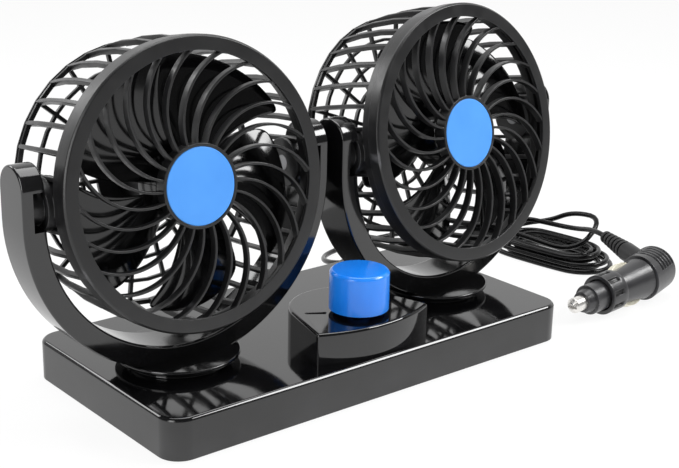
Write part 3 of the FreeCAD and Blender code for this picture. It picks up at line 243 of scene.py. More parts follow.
# %% [markdown]
# ## Colours and patterns
# No moulding has one even colour: it is a little cloudy, smeared by hands and grained by its mould. A painted
# picture could hold all this, but noise needs no unwrapping and has no seams. It reads Object coordinates, so
# it stays where it is when a piece moves. Colours are written as a screen shows them, from 0 to 255, and
# turned into the light that a shader works with.

# %% Colours and patterns
COLOUR_SOCKETS = (0, 6, 7)
COLOUR_RESULT = 2
SRGB_STEP = 0.04045
SRGB_SLOPE = 12.92
SRGB_LIFT = 0.055
SRGB_POWER = 2.4


def tinted(tree, share, low, high):
    """A colour that goes from low to high as share goes from nought to one."""
    blend = tree.nodes.new("ShaderNodeMix")
    blend.data_type = "RGBA"
    for number, source in zip(COLOUR_SOCKETS, (share, low, high)):
        feed(tree, blend.inputs[number], source)
    return blend.outputs[COLOUR_RESULT]


def linear(shade):
    """A display value from 0 to 255 as the light that it stands for."""
    share = shade / 255
    if share <= SRGB_STEP:
        return share / SRGB_SLOPE
    return ((share + SRGB_LIFT) / (1 + SRGB_LIFT)) ** SRGB_POWER


def colour_of(shades):
    """A colour for a shader from three display values."""
    return (*(linear(shade) for shade in shades), 1)


def noise(tree, scale, detail):
    """A noise pattern in Object coordinates, with cells of one over scale metres."""
    place = tree.nodes.new("ShaderNodeTexCoord")
    pattern = tree.nodes.new("ShaderNodeTexNoise")
    pattern.inputs["Scale"].default_value = scale
    pattern.inputs["Detail"].default_value = detail
    tree.links.new(place.outputs["Object"], pattern.inputs["Vector"])
    return pattern.outputs["Fac"]


print(f"a middle grey is {linear(128):.3f} of white in light")

# %% [markdown]
# ## Finishes
# Each finish is one Principled shader. Colour and gloss vary a little over the surface, and a fine grain sits
# in the bump. Some finishes are paler on edges that stick out, which is rubbed wear, and on the satin also a
# painted highlight on the thin rib fronts. Some are darker in their grooves, which is painted shade. Masks for
# those places could be painted, but the Pointiness of the surface tells where they are. One helper makes all
# the finishes, so that they differ only by their values.

# %% Finish helper
PATCH_RANGE = (0.3, 0.7)
PATCH_SCALE = 45
SMEAR_SCALE = 112.5
PATCH_DETAIL = 3
SMEAR_DETAIL = 5
GRAIN_DETAIL = 2
GRAIN_HEIGHT = 0.05 * MM
EDGE_RANGE = (0.53, 0.6)
HOLLOW_RANGE = (0.43, 0.497)


def pointiness(tree):
    """How far a place sticks out, one half where it is flat."""
    return tree.nodes.new("ShaderNodeNewGeometry").outputs["Pointiness"]


def finish(name, dark, light, gloss, grain, depth, metal=0, mirror=0.5, edge_wear_and_highlight=None, painted_groove_shade=None):
    """A material: two near colours, the range of its roughness, the scale and depth of its grain, how metallic
    and how strong a mirror it is, the colour of its edges that stick out, which stands for rubbed wear and, on
    the satin, a painted highlight, and the colour of the painted shade in its grooves."""
    material = bpy.data.materials.new(name)
    material.use_nodes = True
    tree = material.node_tree
    shader = tree.nodes["Principled BSDF"]
    shader.inputs["Metallic"].default_value = metal
    shader.inputs["Specular IOR Level"].default_value = mirror
    patches = stretch(tree, noise(tree, PATCH_SCALE, PATCH_DETAIL), *PATCH_RANGE)
    colour = tinted(tree, patches, colour_of(dark), colour_of(light))
    # Edges that stick out are paler: rubbed wear, and on the satin a painted highlight on the rib fronts.
    if edge_wear_and_highlight:
        edges = maths(tree, "MULTIPLY", stretch(tree, pointiness(tree), *EDGE_RANGE), patches)
        colour = tinted(tree, edges, colour, colour_of(edge_wear_and_highlight))
    # Grooves are darker: painted shade where the surface curves inwards.
    if painted_groove_shade:
        colour = tinted(tree, stretch(tree, pointiness(tree), *HOLLOW_RANGE), colour_of(painted_groove_shade), colour)
    tree.links.new(colour, shader.inputs["Base Color"])
    smears = stretch(tree, noise(tree, SMEAR_SCALE, SMEAR_DETAIL), *PATCH_RANGE, *gloss)
    tree.links.new(smears, shader.inputs["Roughness"])
    bump = tree.nodes.new("ShaderNodeBump")
    bump.inputs["Strength"].default_value = depth
    bump.inputs["Distance"].default_value = GRAIN_HEIGHT
    tree.links.new(noise(tree, grain, GRAIN_DETAIL), bump.inputs["Height"])
    tree.links.new(bump.outputs["Normal"], shader.inputs["Normal"])
    return material


# %% [markdown]
# ## Plastics and rubber
# Ring and basket are satin, forks, blades and shell are polished. On black the roughness and the mirror
# strength do most of the work, and the colours hardly differ; the satin's pale edges are a painted highlight.
# The knob and the badges are dyed in two blues, the plug is a worn grey, and rubber is dull. Plug and rubber
# have painted shade in their grooves.

# %% Plastics and rubber
RUBBED = (46, 46, 48)
# The satin's pale edges are a painted highlight on the thin rib fronts, brighter than the wear on the others.
satin_black = finish(
    "satin black moulding", (18, 18, 19), (26, 26, 27),
    gloss=(0.28, 0.4), grain=1800, depth=0.2, mirror=0.6, edge_wear_and_highlight=(84, 84, 86),
)
fork_black = finish(
    "gloss black fork", (9, 9, 10), (13, 13, 14),
    gloss=(0.08, 0.13), grain=240, depth=0.03, mirror=0.85, edge_wear_and_highlight=RUBBED,
)
blade_black = finish(
    "gloss black blades", (7, 7, 8), (11, 11, 12), gloss=(0.08, 0.14), grain=300, depth=0.04, mirror=0.6
)
gloss_black = finish(
    "gloss black shell", (7, 7, 8), (11, 11, 12),
    gloss=(0.05, 0.09), grain=160, depth=0.02, mirror=0.8, edge_wear_and_highlight=RUBBED,
)
knob_blue = finish(
    "blue knob", (22, 122, 232), (30, 134, 240), gloss=(0.18, 0.26), grain=700, depth=0.03, mirror=0.7
)
badge_blue = finish("blue badge", (68, 146, 232), (76, 154, 238), gloss=(0.4, 0.5), grain=1200, depth=0.06)
# The rubber's dark grooves are painted shade.
black_rubber = finish(
    "black rubber", (22, 22, 23), (30, 30, 31),
    gloss=(0.34, 0.46), grain=1800, depth=0.2, mirror=0.4, painted_groove_shade=(5, 5, 5),
)
cord_skin = finish("cord skin", (4, 4, 5), (8, 8, 9), gloss=(0.2, 0.3), grain=900, depth=0.08, mirror=0.25)
# The plug's dark grooves are painted shade; its pale edges are wear.
plug_grey = finish(
    "dark grey plug", (36, 36, 38), (50, 50, 52),
    gloss=(0.26, 0.36), grain=2200, depth=0.18, mirror=0.7, edge_wear_and_highlight=(104, 104, 106), painted_groove_shade=(6, 6, 6),
)
print(f"{len(bpy.data.materials)} materials with the plastics")

# %% [markdown]
# ## Metals and the pieces inside
# The plug's tip is nickel and its side contacts are tinned and a little yellow. Both are less than fully
# metallic, because a pure metal would turn dark where it mirrors the dim room. Screws, motors and the pieces
# in the base are seen through gaps at most.

# %% Metals and the pieces inside
zinc_steel = finish(
    "zinc plated steel", (150, 150, 152), (176, 176, 178), gloss=(0.25, 0.36), grain=700, depth=0.1, metal=1
)
dark_steel = finish(
    "blackened steel", (30, 30, 31), (40, 40, 41), gloss=(0.35, 0.45), grain=700, depth=0.1, metal=1
)
bright_nickel = finish(
    "bright nickel", (232, 230, 226), (244, 242, 238), gloss=(0.28, 0.36), grain=500, depth=0.05, metal=0.9
)
contact_cream = finish(
    "tinned contact", (226, 221, 200), (240, 236, 218), gloss=(0.3, 0.4), grain=500, depth=0.08, metal=0.6
)
ceramic = finish("ceramic block", (206, 202, 192), (220, 216, 206), gloss=(0.6, 0.7), grain=900, depth=0.3)
fuse_glass = finish("fuse glass", (200, 210, 210), (210, 220, 220), gloss=(0.05, 0.1), grain=300, depth=0.02)
print(f"{len(bpy.data.materials)} finishes")

# %% [markdown]
# ## Sides of the base
# The top of the base is polished and its sides are dull. Two materials would meet in a hard line, so the
# shell's gloss goes by height instead: just below the rim the roughness changes over from the polish to one
# dull value.

# %% Sides of the base
GLOSS_FROM = 20.8 * MM
GLOSS_FULL = 21.6 * MM
SIDE_GLOSS = 0.3

tree = gloss_black.node_tree
roughness = tree.nodes["Principled BSDF"].inputs["Roughness"]
polish = roughness.links[0].from_socket
place = tree.nodes.new("ShaderNodeTexCoord")
height = tree.nodes.new("ShaderNodeSeparateXYZ")
tree.links.new(place.outputs["Object"], height.inputs["Vector"])
top = stretch(tree, height.outputs["Z"], GLOSS_FROM, GLOSS_FULL)
tree.links.new(between(tree, top, SIDE_GLOSS, polish), roughness)
print(f"{gloss_black.name} of {len(tree.nodes)} nodes")

# %% [markdown]
# ## The cord
# The lead leaves the back of the base through a rubber gland, runs along the floor to the right, is folded
# into a hank of loose turns, and rises in one last loop to the boot of the plug. It is one smooth spline. The
# free stretches are listed points, near those that the solids follow. In the hank, each strand is given by how
# far it lies to one side, how high it lies and where its straight part ends, and a loop works out the half
# turns between the strands. They lie two and three deep, as in a hank that was pressed together in its box. A
# simulated rope would lie as well, but not the same way each time.

# %% The cord's route
CORD_RADIUS = 1.75
CORD_LIFT = 0.15
CORD_LOW = CORD_RADIUS + CORD_LIFT
TAIL = [(96, 87.6, 11.5), (96, 107.6, 5.8), (118, 132.5, CORD_LOW), (170.2, 138, CORD_LOW)]
TAIL += [(225, 130.7, CORD_LOW), (267.8, 96.6, CORD_LOW)]
LEAD = [(262.9, 78, 11.5), (269.9, 63.1, 15.5), (272.2, 44.3, 26.2), (272.6, 16.6, 28), (239.8, 12.6, 9.8)]
LEAD += [(233.9, 55.1, 12.7), (231.8, 70, 13.8), (243.4, 79.6, 15.6), (257.4, 73.6, 16.6), (259.5, 58.8, 17.1)]
LEAD += [(263.1, 34.1, 17.8), (251.7, 6.5, 26.4), (247.6, -5.8, 25.3)]
HANK_PLACE = Matrix.Translation((246, 36, 0)) @ Matrix.Rotation(math.radians(-83), 4, "Z")
HANK_START = -17.5
HANK_FLOOR = [(20, CORD_LOW, 21), (-24, CORD_LOW, -24), (17.5, 5.9, 21), (-21, 5.6, -22.5)]
HANK_FLOOR += [(14, CORD_LOW, 19), (-17.5, CORD_LOW, -20), (11, 5.9, 17.5), (-14.5, 5.7, -18)]
HANK_TOP = [(12.5, 10, 14), (-16, 9.6, -19.5), (16.5, 10.2, 15), (-20.5, 9.6, -20.5), (21, 13, 0)]
TURN_POINTS = 6
SWELL = 1 / math.cos(math.pi / TURN_POINTS / 2) ** 0.5

strands = HANK_FLOOR + HANK_TOP
hank = [HANK_PLACE @ Vector((HANK_START, *strands[0][:2]))]
for number, ((first, low, edge), (second, high, _)) in enumerate(zip(strands, strands[1:])):
    sign = 1 if number % 2 == 0 else -1
    reach = math.hypot(second - first, high - low) / 2 * SWELL
    last = number + 2 == len(strands)
    for step in range(TURN_POINTS // 2 + 1 if last else TURN_POINTS + 1):
        angle = math.pi * step / TURN_POINTS
        share = (1 - math.cos(angle)) / 2
        across = first + (second - first) * share
        above = low + (high - low) * share
        hank.append(HANK_PLACE @ Vector((edge + sign * reach * math.sin(angle), across, above)))
route = [Vector(point) for point in TAIL] + hank + [Vector(point) for point in LEAD]
print(f"route of {len(route)} points")

# %% [markdown]
# ## The cord's skin
# The lead has a round rubber skin. A circle could be extruded from point to point, but a curve with a round
# bevel is a tube of even thickness, and it stays smooth however it bends. The order is set after the points,
# because a spline without points falls back to straight runs.

# %% The cord's spline
line = bpy.data.curves.new("cord", "CURVE")
line.dimensions = "3D"
line.bevel_depth = CORD_RADIUS * MM
line.bevel_resolution = 5
line.use_fill_caps = True
spline = line.splines.new("NURBS")
spline.points.add(len(route) - 1)
for point, place in zip(spline.points, route):
    point.co = (*(place * MM), 1)
spline.order_u = 3
spline.use_endpoint_u = True
spline.resolution_u = 6
cord = bpy.data.objects.new("cord", line)
bpy.context.scene.collection.objects.link(cord)
cord.data.materials.append(cord_skin)
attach(cord, "base")
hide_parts("cord_tail", "cord_hank", "cord_lead")
print(f"cord of {spline.calc_length() / MM:.0f} mm")

# %% [markdown]
# ## Soft edges
# A solid from CAD has sharp edges or plain chamfers, and its mesh is loose triangles. Real mouldings have
# small rounds that catch the light. All pieces could be modelled again, but copies of their solids keep the
# sizes. So doubles are merged, flat faces are joined again, sharp edges are selected by their angle and their
# place, and the Bevel tool rounds them. Selecting by place leaves alone the small holes and posts inside,
# where wide rounds would run into each other.

# %% Selecting
CREASE = math.radians(28)


def pick(piece):
    """Makes a piece the only one that is selected, and the active one."""
    bpy.ops.object.select_all(action="DESELECT")
    bpy.context.view_layer.objects.active = piece
    piece.select_set(True)


def mark(piece, kind, rule):
    """Selects the vertices, edges or faces that a rule accepts, and leaves the piece in edit mode."""
    bpy.ops.object.mode_set(mode="EDIT")
    bpy.ops.mesh.select_mode(type=kind)
    bpy.ops.mesh.select_all(action="DESELECT")
    bpy.ops.object.mode_set(mode="OBJECT")
    mesh = piece.data
    for item in {"VERT": mesh.vertices, "EDGE": mesh.edges, "FACE": mesh.polygons}[kind]:
        item.select = rule(item)
    bpy.ops.object.mode_set(mode="EDIT")


def everywhere(place):
    """A rule that accepts every place, or every normal."""
    return True


def mark_sharp(piece, where=everywhere):
    """Selects the sharp edges whose middle a rule accepts, leaves the piece in edit mode, and counts them."""
    bpy.ops.object.mode_set(mode="EDIT")
    bpy.ops.mesh.select_mode(type="EDGE")
    bpy.ops.mesh.select_all(action="DESELECT")
    bpy.ops.mesh.edges_select_sharp(sharpness=CREASE)
    bpy.ops.object.mode_set(mode="OBJECT")
    mesh = piece.data
    for edge in mesh.edges:
        first, second = (mesh.vertices[number].co for number in edge.vertices)
        edge.select = edge.select and where((first + second) / 2)
    count = sum(edge.select for edge in mesh.edges)
    bpy.ops.object.mode_set(mode="EDIT")
    return count


# %% [markdown]
# ## One helper for all copies
# The bevel could also be a modifier, but then it would round every edge by the same rule. A Weighted Normal
# modifier keeps flat faces flat in the shading, so the light sits on the rounds. A finished piece is attached
# to the body of the CAD node that it stands for, and that node is hidden.

# %% Soft edge helper
DOUBLES = 0.002 * MM
FLAT = math.radians(1)
SMOOTH = math.radians(35)


def applied(piece, kind, **settings):
    """Adds a modifier with its settings to the active piece and applies it."""
    modifier = piece.modifiers.new(kind.lower(), kind)
    for name, value in settings.items():
        setattr(modifier, name, value)
    bpy.ops.object.modifier_apply(modifier=modifier.name)


def stand_for(piece, node):
    """Lets a piece take the place of a CAD node, on the same body, and hides the node."""
    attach(piece, body_of_node[node])
    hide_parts(node)


def softened(node, material, width, segments=2, joins=everywhere, where=everywhere):
    """A copy of a CAD node with its finish and with rounds of a width in millimetres. Faces are joined where
    joins accepts their normal, and edges are rounded where the other rule accepts their middle."""
    piece = bpy.data.objects.new("dressed_" + node, nodes[node].data.copy())
    bpy.context.scene.collection.objects.link(piece)
    pick(piece)
    bpy.ops.object.mode_set(mode="EDIT")
    bpy.ops.mesh.select_all(action="SELECT")
    bpy.ops.mesh.remove_doubles(threshold=DOUBLES)
    mark(piece, "FACE", lambda face: joins(face.normal))
    bpy.ops.mesh.dissolve_limited(angle_limit=FLAT)
    count = mark_sharp(piece, where)
    bpy.ops.mesh.bevel(offset=width * MM, segments=segments, miter_outer="ARC", clamp_overlap=False)
    bpy.ops.object.mode_set(mode="OBJECT")
    bpy.ops.object.shade_smooth_by_angle(angle=SMOOTH)
    applied(piece, "WEIGHTED_NORMAL", keep_sharp=True)
    piece.data.materials.clear()
    piece.data.materials.append(material)
    stand_for(piece, node)
    print(f"{piece.name}: {count} edges rounded, {len(piece.data.polygons)} faces")


# %% [markdown]
# ## Base, pod and knob
# The base is a shallow gloss moulding with a rounded rim, which draws the bright line along its front and
# left. The pod in front has a wide round where its top meets its side. The knob is dyed plastic with a soft
# top edge. Their solids have the right form already, so copies with rounds on the upper edges are enough.

# %% Base, pod and knob
RIM_FROM = 20.6 * MM
POD_FROM = 26 * MM
KNOB_FROM = 62 * MM
softened("base_cover", gloss_black, width=0.65, segments=4, where=lambda place: place.z > RIM_FROM)
softened("switch_housing", gloss_black, width=0.8, segments=4, where=lambda place: place.z > POD_FROM)
softened("knob", knob_blue, width=0.6, segments=4, where=lambda place: place.z > KNOB_FROM)

# %% [markdown]
# ## Heads
# A head is a ring with swept ribs in front and a basket of bars behind, both satin, with a shiny fan between
# them. Joining flat faces would be wrong for those that are square to the head's axis: they are full of
# openings, and one face can't go round a hole. So those stay triangles, and only the others are joined.

# %% Heads
FACING = 0.9
for side in SIDES:
    blow = Vector(joint_of[f"{side}_spin"]["axis"])

    def slanted(normal):
        """Whether a face is not square to the way in which the head blows."""
        return abs(normal.dot(blow)) < FACING

    softened(f"{side}_front_grille", satin_black, width=0.3, joins=slanted)
    softened(f"{side}_hub_badge", badge_blue, width=0.25)
    softened(f"{side}_rear_cage", satin_black, width=0.35, joins=slanted)
    softened(f"{side}_motor", dark_steel, width=0.4)

# %% [markdown]
# ## Fans
# A fan is a cup that sits on the motor's axle, with five broad blades that nearly meet when seen from the
# front. A blade could be cut from a thick ring, but its arched and twisted face comes out smoother from a flat
# grid. The grid is first drawn out to a line from the hub to the tip. Two lists keep how far out and how far
# round each vertex will be.

# %% Grid of one blade
BLADE_ROOT = 16.5
BLADE_TIP = 64
GRID_FACES = 6

bpy.ops.object.select_all(action="DESELECT")
bpy.ops.mesh.primitive_grid_add(x_subdivisions=GRID_FACES, y_subdivisions=GRID_FACES, size=2)
blade = bpy.context.object
out_of = [round(vertex.co.x, 4) for vertex in blade.data.vertices]
round_of = [round(vertex.co.y, 4) for vertex in blade.data.vertices]
bpy.ops.object.mode_set(mode="EDIT")
bpy.ops.mesh.select_all(action="SELECT")
bpy.ops.transform.resize(value=((BLADE_TIP - BLADE_ROOT) / 2 * MM, 0, 0))
bpy.ops.transform.translate(value=((BLADE_TIP + BLADE_ROOT) / 2 * MM, 0, 0))
print(f"grid of {len(out_of)} vertices")

# %% [markdown]
# ## Shape of one blade
# The grid's rows are lifted to an arched section and its columns stretched to the pitch. Then the columns are
# swept on, the further out the more, and the rows spread round the hub like a hand fan. A subdivision surface
# rounds its corners and Solidify gives it its wall. Modelling the wall by hand would double the work for the
# same form.

# %% Shape of one blade
BLADE_SPREAD = math.radians(31)
BLADE_SWEEP = math.radians(14)
BLADE_ARCH = 0.35
ROOT_RISE = 7.5
TIP_RISE = 9
BLADE_WALL = 1.5
BLADE_EDGE = 0.4
BLADE_MIDDLE = 3.9


def swing(angle):
    """Turns what is selected round the vertical line through the origin, left about as seen from above."""
    bpy.ops.transform.rotate(value=angle, orient_axis="Z", orient_type="GLOBAL", center_override=(0, 0, 0))


for share in sorted(set(round_of)):
    mark(blade, "VERT", lambda vertex: round_of[vertex.index] == share)
    bpy.ops.transform.translate(value=(0, 0, (share + BLADE_ARCH * (1 - share * share)) * MM))
for reach in sorted(set(out_of)):
    mark(blade, "VERT", lambda vertex: out_of[vertex.index] == reach)
    outwards = (reach + 1) / 2
    rise = ROOT_RISE + (TIP_RISE - ROOT_RISE) * outwards
    bpy.ops.transform.resize(value=(1, 1, rise), center_override=(0, 0, 0))
    swing(BLADE_SWEEP * outwards ** 2)
for share in sorted(set(round_of)):
    mark(blade, "VERT", lambda vertex: round_of[vertex.index] == share)
    swing(BLADE_SPREAD * share)
bpy.ops.mesh.select_all(action="SELECT")
bpy.ops.transform.translate(value=(0, 0, BLADE_MIDDLE * MM))
bpy.ops.object.mode_set(mode="OBJECT")
applied(blade, "SUBSURF", levels=2)
applied(blade, "SOLIDIFY", thickness=BLADE_WALL * MM, offset=0)
applied(blade, "BEVEL", width=BLADE_EDGE * MM, segments=2)
print(f"blade of {len(blade.data.polygons)} faces")

# %% [markdown]
# ## Hub and the ring of blades
# The hub is a cup, open at the back over the motor's nose. Its profile could be spun, but a cylinder gets
# there in three steps: its front is rounded, and its back is inset and pushed in. One blade is modelled and
# four copies are turned round the hub, so all five are the same.

# %% Hub and the ring of blades
BLADES = 5
HUB_FACES = 72
HUB_RADIUS = 19
HUB_BACK = -3.4
HUB_FRONT = 15.6
HUB_WALL = 2.2
HUB_ROUND = 2.5


def cylinder(faces, radius, low, high):
    """An upright cylinder round the Z axis between two heights, in millimetres."""
    bpy.ops.object.select_all(action="DESELECT")
    bpy.ops.mesh.primitive_cylinder_add(
        vertices=faces, radius=radius * MM, depth=(high - low) * MM, location=(0, 0, (high + low) / 2 * MM)
    )
    bpy.ops.object.transform_apply(location=True)
    return bpy.context.object


def mark_cap(piece, direction):
    """Selects the end of a cylinder that looks up or down."""
    mark(piece, "FACE", lambda face: face.normal.z * direction > FACING)


def extruded(rise):
    """Extrudes what is selected along Z, by a length in millimetres."""
    bpy.ops.mesh.extrude_region_move(TRANSFORM_OT_translate={"value": (0, 0, rise * MM)})


hub = cylinder(HUB_FACES, HUB_RADIUS, HUB_BACK, HUB_FRONT)
mark_cap(hub, 1)
bpy.ops.mesh.bevel(offset=HUB_ROUND * MM, segments=4)
mark_cap(hub, -1)
bpy.ops.mesh.inset(thickness=HUB_WALL * MM)
extruded(HUB_FRONT - HUB_BACK - HUB_WALL)
bpy.ops.object.mode_set(mode="OBJECT")

pick(blade)
bpy.ops.object.mode_set(mode="EDIT")
bpy.ops.mesh.select_all(action="SELECT")
for number in range(BLADES - 1):
    bpy.ops.mesh.duplicate()
    swing(2 * math.pi / BLADES)
bpy.ops.object.mode_set(mode="OBJECT")
hub.select_set(True)
bpy.ops.object.join()
bpy.ops.object.shade_smooth_by_angle(angle=SMOOTH)
print(f"fan of {len(blade.data.polygons)} faces")

# %% [markdown]
# ## A fan in each head
# The fan is copied into each head, in line with that head's axle, and stopped at the angle that the photograph
# shows. Every copy has a mesh of its own with its place in it, so it stands at the origin as a CAD node does.

# %% A fan in each head
FAN_TURN = {"left": math.radians(-1), "right": math.radians(39)}


def set_in_place(name, model, place, material, node):
    """A copy of a model with a mesh of its own, which a matrix sets in place, instead of a CAD node."""
    piece = bpy.data.objects.new(name, model.data.copy())
    bpy.context.scene.collection.objects.link(piece)
    piece.matrix_world = place
    pick(piece)
    bpy.ops.object.transform_apply(location=True, rotation=True)
    piece.data.materials.append(material)
    stand_for(piece, node)
    print(f"{name}: {len(piece.data.polygons)} faces")


for side in SIDES:
    axle = joint_of[f"{side}_spin"]
    blow = Vector(axle["axis"]).normalized()
    over = (Vector((0, 0, 1)) - blow * blow.z).normalized()
    lie = Matrix((over.cross(blow), over, blow)).transposed().to_4x4()
    place = Matrix.Translation(axle["pos_m"]) @ lie @ Matrix.Rotation(FAN_TURN[side], 4, "Z")
    set_in_place(f"fan_{side}", blade, place, blade_black, f"{side}_impeller")
bpy.data.objects.remove(blade)

# %% [markdown]
# ## Forks
# A fork is one gloss bow on a thin turntable. A bow could be cut from a torus, but its section is a rectangle
# and its arms are straight at the top. So the section of one arm is extruded down, spun half round below the
# head and extruded up again.

# %% Bow
BOW_INNER = 76
BOW_OUTER = 87.5
BOW_DEPTH = 24
BOW_CENTRE = 111
BOW_STEPS = 64
ARM_TOP = 138.5
MERGED = 0.01 * MM

bpy.ops.object.select_all(action="DESELECT")
bpy.ops.mesh.primitive_plane_add(size=1)
bow = bpy.context.object
bpy.ops.object.mode_set(mode="EDIT")
bpy.ops.mesh.select_all(action="SELECT")
bpy.ops.transform.resize(value=((BOW_OUTER - BOW_INNER) * MM, BOW_DEPTH * MM, 1))
bpy.ops.transform.translate(value=(-(BOW_OUTER + BOW_INNER) / 2 * MM, 0, ARM_TOP * MM))
extruded(BOW_CENTRE - ARM_TOP)
bpy.ops.mesh.spin(steps=BOW_STEPS, angle=math.pi, center=(0, 0, BOW_CENTRE * MM), axis=(0, 1, 0))
extruded(ARM_TOP - BOW_CENTRE)
bpy.ops.mesh.select_all(action="SELECT")
bpy.ops.mesh.remove_doubles(threshold=MERGED)
bpy.ops.mesh.normals_make_consistent(inside=False)
bpy.ops.object.mode_set(mode="OBJECT")
print(f"bow of {len(bow.data.polygons)} faces")

# %% [markdown]
# ## Rounds of the bow
# Seen from the side, the arms end in half circles. Cylinders on top of the arms would do, but bevels leave one
# closed skin: the two top edges of an arm get one as wide as half the arm, and then all sharp edges along the
# bow get a small one. The lowest part of the bow is cut off level by a bisect, because the turntable is there.

# %% Rounds of the bow
ARM_ROUND = 11.9
ARM_SEGMENTS = 12
BOW_EDGE = 1.2
NEAR = 0.1 * MM
TABLE_BOTTOM = 26
TABLE_TOP = 28.2


def across_end(edge):
    """Whether an edge of the bow lies at an arm's end, across the arm."""
    first, second = (bow.data.vertices[number].co for number in edge.vertices)
    return min(first.z, second.z) > ARM_TOP * MM - NEAR and abs(first.y - second.y) < NEAR


mark(bow, "EDGE", across_end)
bpy.ops.mesh.bevel(offset=ARM_ROUND * MM, segments=ARM_SEGMENTS)
mark_sharp(bow)
bpy.ops.mesh.bevel(offset=BOW_EDGE * MM, segments=3)
bpy.ops.mesh.select_all(action="SELECT")
bpy.ops.mesh.bisect(
    plane_co=(0, 0, (TABLE_BOTTOM + TABLE_TOP) / 2 * MM), plane_no=(0, 0, -1), clear_outer=True, use_fill=True
)
bpy.ops.object.mode_set(mode="OBJECT")
print(f"rounded bow of {len(bow.data.polygons)} faces")

# %% [markdown]
# ## Slots and pin holes
# The head's pivots slide into the arms from the front, in slots with a round end. One long cutter makes both
# slots at once: a cylinder from arm to arm whose front half is pulled forwards. A thinner one, left round,
# makes the holes for the pins. A Boolean takes them away, as a milling cutter would.

# %% Slots and pin holes
PIVOT_HEIGHT = 117.5
SLOT_RADIUS = 9.5
SLOT_REACH = 82.2
PIN_RADIUS = 4.15
PIN_REACH = 85.3
CUTTER_FACES = 48

for radius, reach, pulled in ((SLOT_RADIUS, SLOT_REACH, BOW_DEPTH), (PIN_RADIUS, PIN_REACH, 0)):
    bpy.ops.object.select_all(action="DESELECT")
    bpy.ops.mesh.primitive_cylinder_add(
        vertices=CUTTER_FACES, radius=radius * MM, depth=2 * reach * MM,
        location=(0, 0, PIVOT_HEIGHT * MM), rotation=(0, math.pi / 2, 0),
    )
    cutter = bpy.context.object
    bpy.ops.object.transform_apply(location=True, rotation=True)
    mark(cutter, "VERT", lambda vertex: vertex.co.y < -NEAR)
    bpy.ops.transform.translate(value=(0, -pulled * MM, 0))
    bpy.ops.object.mode_set(mode="OBJECT")
    bpy.context.view_layer.objects.active = bow
    applied(bow, "BOOLEAN", object=cutter, operation="DIFFERENCE", solver="EXACT")
    bpy.data.objects.remove(cutter)
print(f"bow with its slots of {len(bow.data.polygons)} faces")

# %% [markdown]
# ## Turntable
# The bow stands on a thin disc with a round rim, and a hollow stem under it turns in the base. The disc is a
# flat cylinder, and the stem grows from an inset of its underside. Disc and bow could just be pushed into each
# other, but a Boolean joins them to one skin without hidden faces inside.

# %% Turntable
TABLE_FACES = 96
TABLE_RADIUS = 32.5
TABLE_ROUND = 0.8
STEM_RADIUS = 14
STEM_BORE = 8
STEM_LENGTH = 6.1

table = cylinder(TABLE_FACES, TABLE_RADIUS, TABLE_BOTTOM, TABLE_TOP)
mark_sharp(table)
bpy.ops.mesh.bevel(offset=TABLE_ROUND * MM, segments=3)
mark_cap(table, -1)
bpy.ops.mesh.inset(thickness=(TABLE_RADIUS - TABLE_ROUND - STEM_RADIUS) * MM)
extruded(-STEM_LENGTH)
bpy.ops.mesh.inset(thickness=(STEM_RADIUS - STEM_BORE) * MM)
extruded(STEM_LENGTH)
bpy.ops.object.mode_set(mode="OBJECT")
pick(bow)
applied(bow, "BOOLEAN", object=table, operation="UNION", solver="EXACT")
bpy.data.objects.remove(table)
bpy.ops.object.shade_smooth_by_angle(angle=SMOOTH)
applied(bow, "WEIGHTED_NORMAL", keep_sharp=True)
print(f"fork of {len(bow.data.polygons)} faces")

# %% [markdown]
# ## A fork for each head
# Both forks are the same moulding, so one model is copied, and each copy is turned a little about its swivel,
# as the photograph shows them.

# %% A fork for each head
FORK_TURN = {"left": math.radians(-1), "right": math.radians(4)}
for side in SIDES:
    swivel = Vector(joint_of[f"{side}_swivel"]["pos_m"])
    place = Matrix.Translation((swivel.x, swivel.y, 0)) @ Matrix.Rotation(FORK_TURN[side], 4, "Z")
    set_in_place(f"fork_{side}", bow, place, fork_black, f"{side}_yoke")
bpy.data.objects.remove(bow)

# %% [markdown]
# ## Collar of the plug
# The plug's collar is a stout ring with a plain lip in front and notches for the fingers. It starts as a
# cylinder as long as the lip. Its back is extruded twice, for the notched band and the rear edge, both ends
# are inset, and bridging the two inner faces opens the hole for the nose. Every eighth face of the band starts
# a notch, three faces wide, which is an inset pushed inwards. Cutters could make the notches too, but insets
# keep the faces in neat rows.

# %% Collar of the plug
COLLAR_FACES = 72
COLLAR_RADIUS = 12.5
COLLAR_BORE = 10
COLLAR_LIP = 1.2
COLLAR_BAND = 9.3
COLLAR_BACK = 3.5
COLLAR_EDGE = 0.35
OUTER_FROM = 11
NOTCH_EVERY = 8
NOTCH_FACES = 3
NOTCH_DEPTH = 1.5
NOTCH_INSET = 0.25


def in_notch(face):
    """Whether a face of the collar is on its band, where a notch goes."""
    number = math.floor(math.atan2(face.center.y, face.center.x) / (2 * math.pi) * COLLAR_FACES)
    on_band = -COLLAR_BAND * MM < face.center.z < 0 and face.center.xy.length > OUTER_FROM * MM
    return on_band and number % NOTCH_EVERY < NOTCH_FACES


collar = cylinder(COLLAR_FACES, COLLAR_RADIUS, 0, COLLAR_LIP)
mark_cap(collar, -1)
extruded(-COLLAR_BAND)
extruded(-COLLAR_BACK)
bpy.ops.mesh.inset(thickness=(COLLAR_RADIUS - COLLAR_BORE) * MM)
mark_cap(collar, 1)
bpy.ops.mesh.inset(thickness=(COLLAR_RADIUS - COLLAR_BORE) * MM)
mark(collar, "FACE", lambda face: len(face.vertices) == COLLAR_FACES)
bpy.ops.mesh.bridge_edge_loops()
mark(collar, "FACE", in_notch)
bpy.ops.mesh.inset(thickness=NOTCH_INSET * MM, depth=-NOTCH_DEPTH * MM)
mark_sharp(collar)
bpy.ops.mesh.bevel(offset=COLLAR_EDGE * MM, segments=2)
bpy.ops.object.mode_set(mode="OBJECT")
bpy.ops.object.shade_smooth_by_angle(angle=SMOOTH)
print(f"collar of {len(collar.data.polygons)} faces")

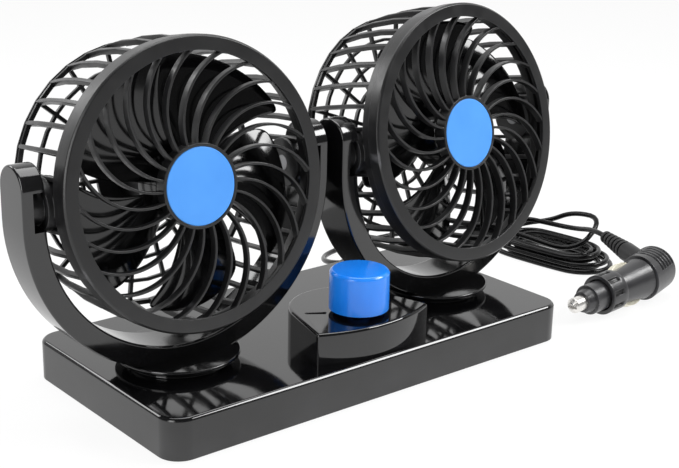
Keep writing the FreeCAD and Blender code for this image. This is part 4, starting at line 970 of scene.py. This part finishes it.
# %% [markdown]
# ## Collar on the plug
# The plug lies at a slant on the floor. The ring could be turned to it by eye, but the frame knows the place:
# the way in which the plug's tip is pressed is its axis, and the solid of the collar tells how far along it
# is.

# %% Collar on the plug
to_tip = -Vector(joint_of["tip_press"]["axis"]).normalized()
beside = to_tip.cross((0, 0, 1)).normalized()
above = beside.cross(to_tip)
corners = [vertex.co for vertex in nodes["plug_collar"].data.vertices]
spans = [[corner.dot(line) for corner in corners] for line in (beside, above, to_tip)]
middle = beside * (min(spans[0]) + max(spans[0])) / 2 + above * (min(spans[1]) + max(spans[1])) / 2
lip_back = min(spans[2]) + (COLLAR_BAND + COLLAR_BACK) * MM
lie = Matrix((above, beside, to_tip)).transposed().to_4x4()
place = Matrix.Translation(middle + to_tip * lip_back) @ lie
set_in_place("plug_collar_ring", collar, place, plug_grey, "plug_collar")
bpy.data.objects.remove(collar)

# %% [markdown]
# ## Plug
# The other pieces of the plug are copies of their solids with small rounds. Its body is dark grey with a
# grain, and its edges are rubbed pale from going in and out of the socket. Its grooves hold painted shade.

# %% Plug
for name in ("plug_cap", "plug_barrel", "plug_nose"):
    softened(name, plug_grey, width=0.3)
softened("plug_boot", black_rubber, width=0.35)
softened("plug_tip", bright_nickel, width=0.3)
for name in ("plug_contact_lower", "plug_contact_upper"):
    softened(name, contact_cream, width=0.25)
softened("cord_gland", black_rubber, width=0.3)

# %% [markdown]
# ## What stays as the solids have it
# Screws, pins and the pieces inside the base keep their solids and only get a finish, because they are small
# or hidden. The switch's nut and shaft get the dark steel as painted shade in the gap under the knob, so that
# nothing shines there.

# %% Finishes for the other nodes
PLAIN = {
    "steel": zinc_steel,
    "bright_metal": bright_nickel,
    "black_rubber": black_rubber,
    "dark_plastic": satin_black,
    "ceramic": ceramic,
    "fuse_glass": fuse_glass,
}
SHADE_UNDER_KNOB = ("switch_nut", "switch_shaft")
kept = [name for name, node in nodes.items() if not node.hide_render]
for name in kept:
    nodes[name].data.materials.clear()
    # Nut and shaft get dark steel as painted shade under the knob.
    nodes[name].data.materials.append(dark_steel if name in SHADE_UNDER_KNOB else PLAIN[slot_of_node[name]])
print(f"{len(kept)} nodes keep their solids")
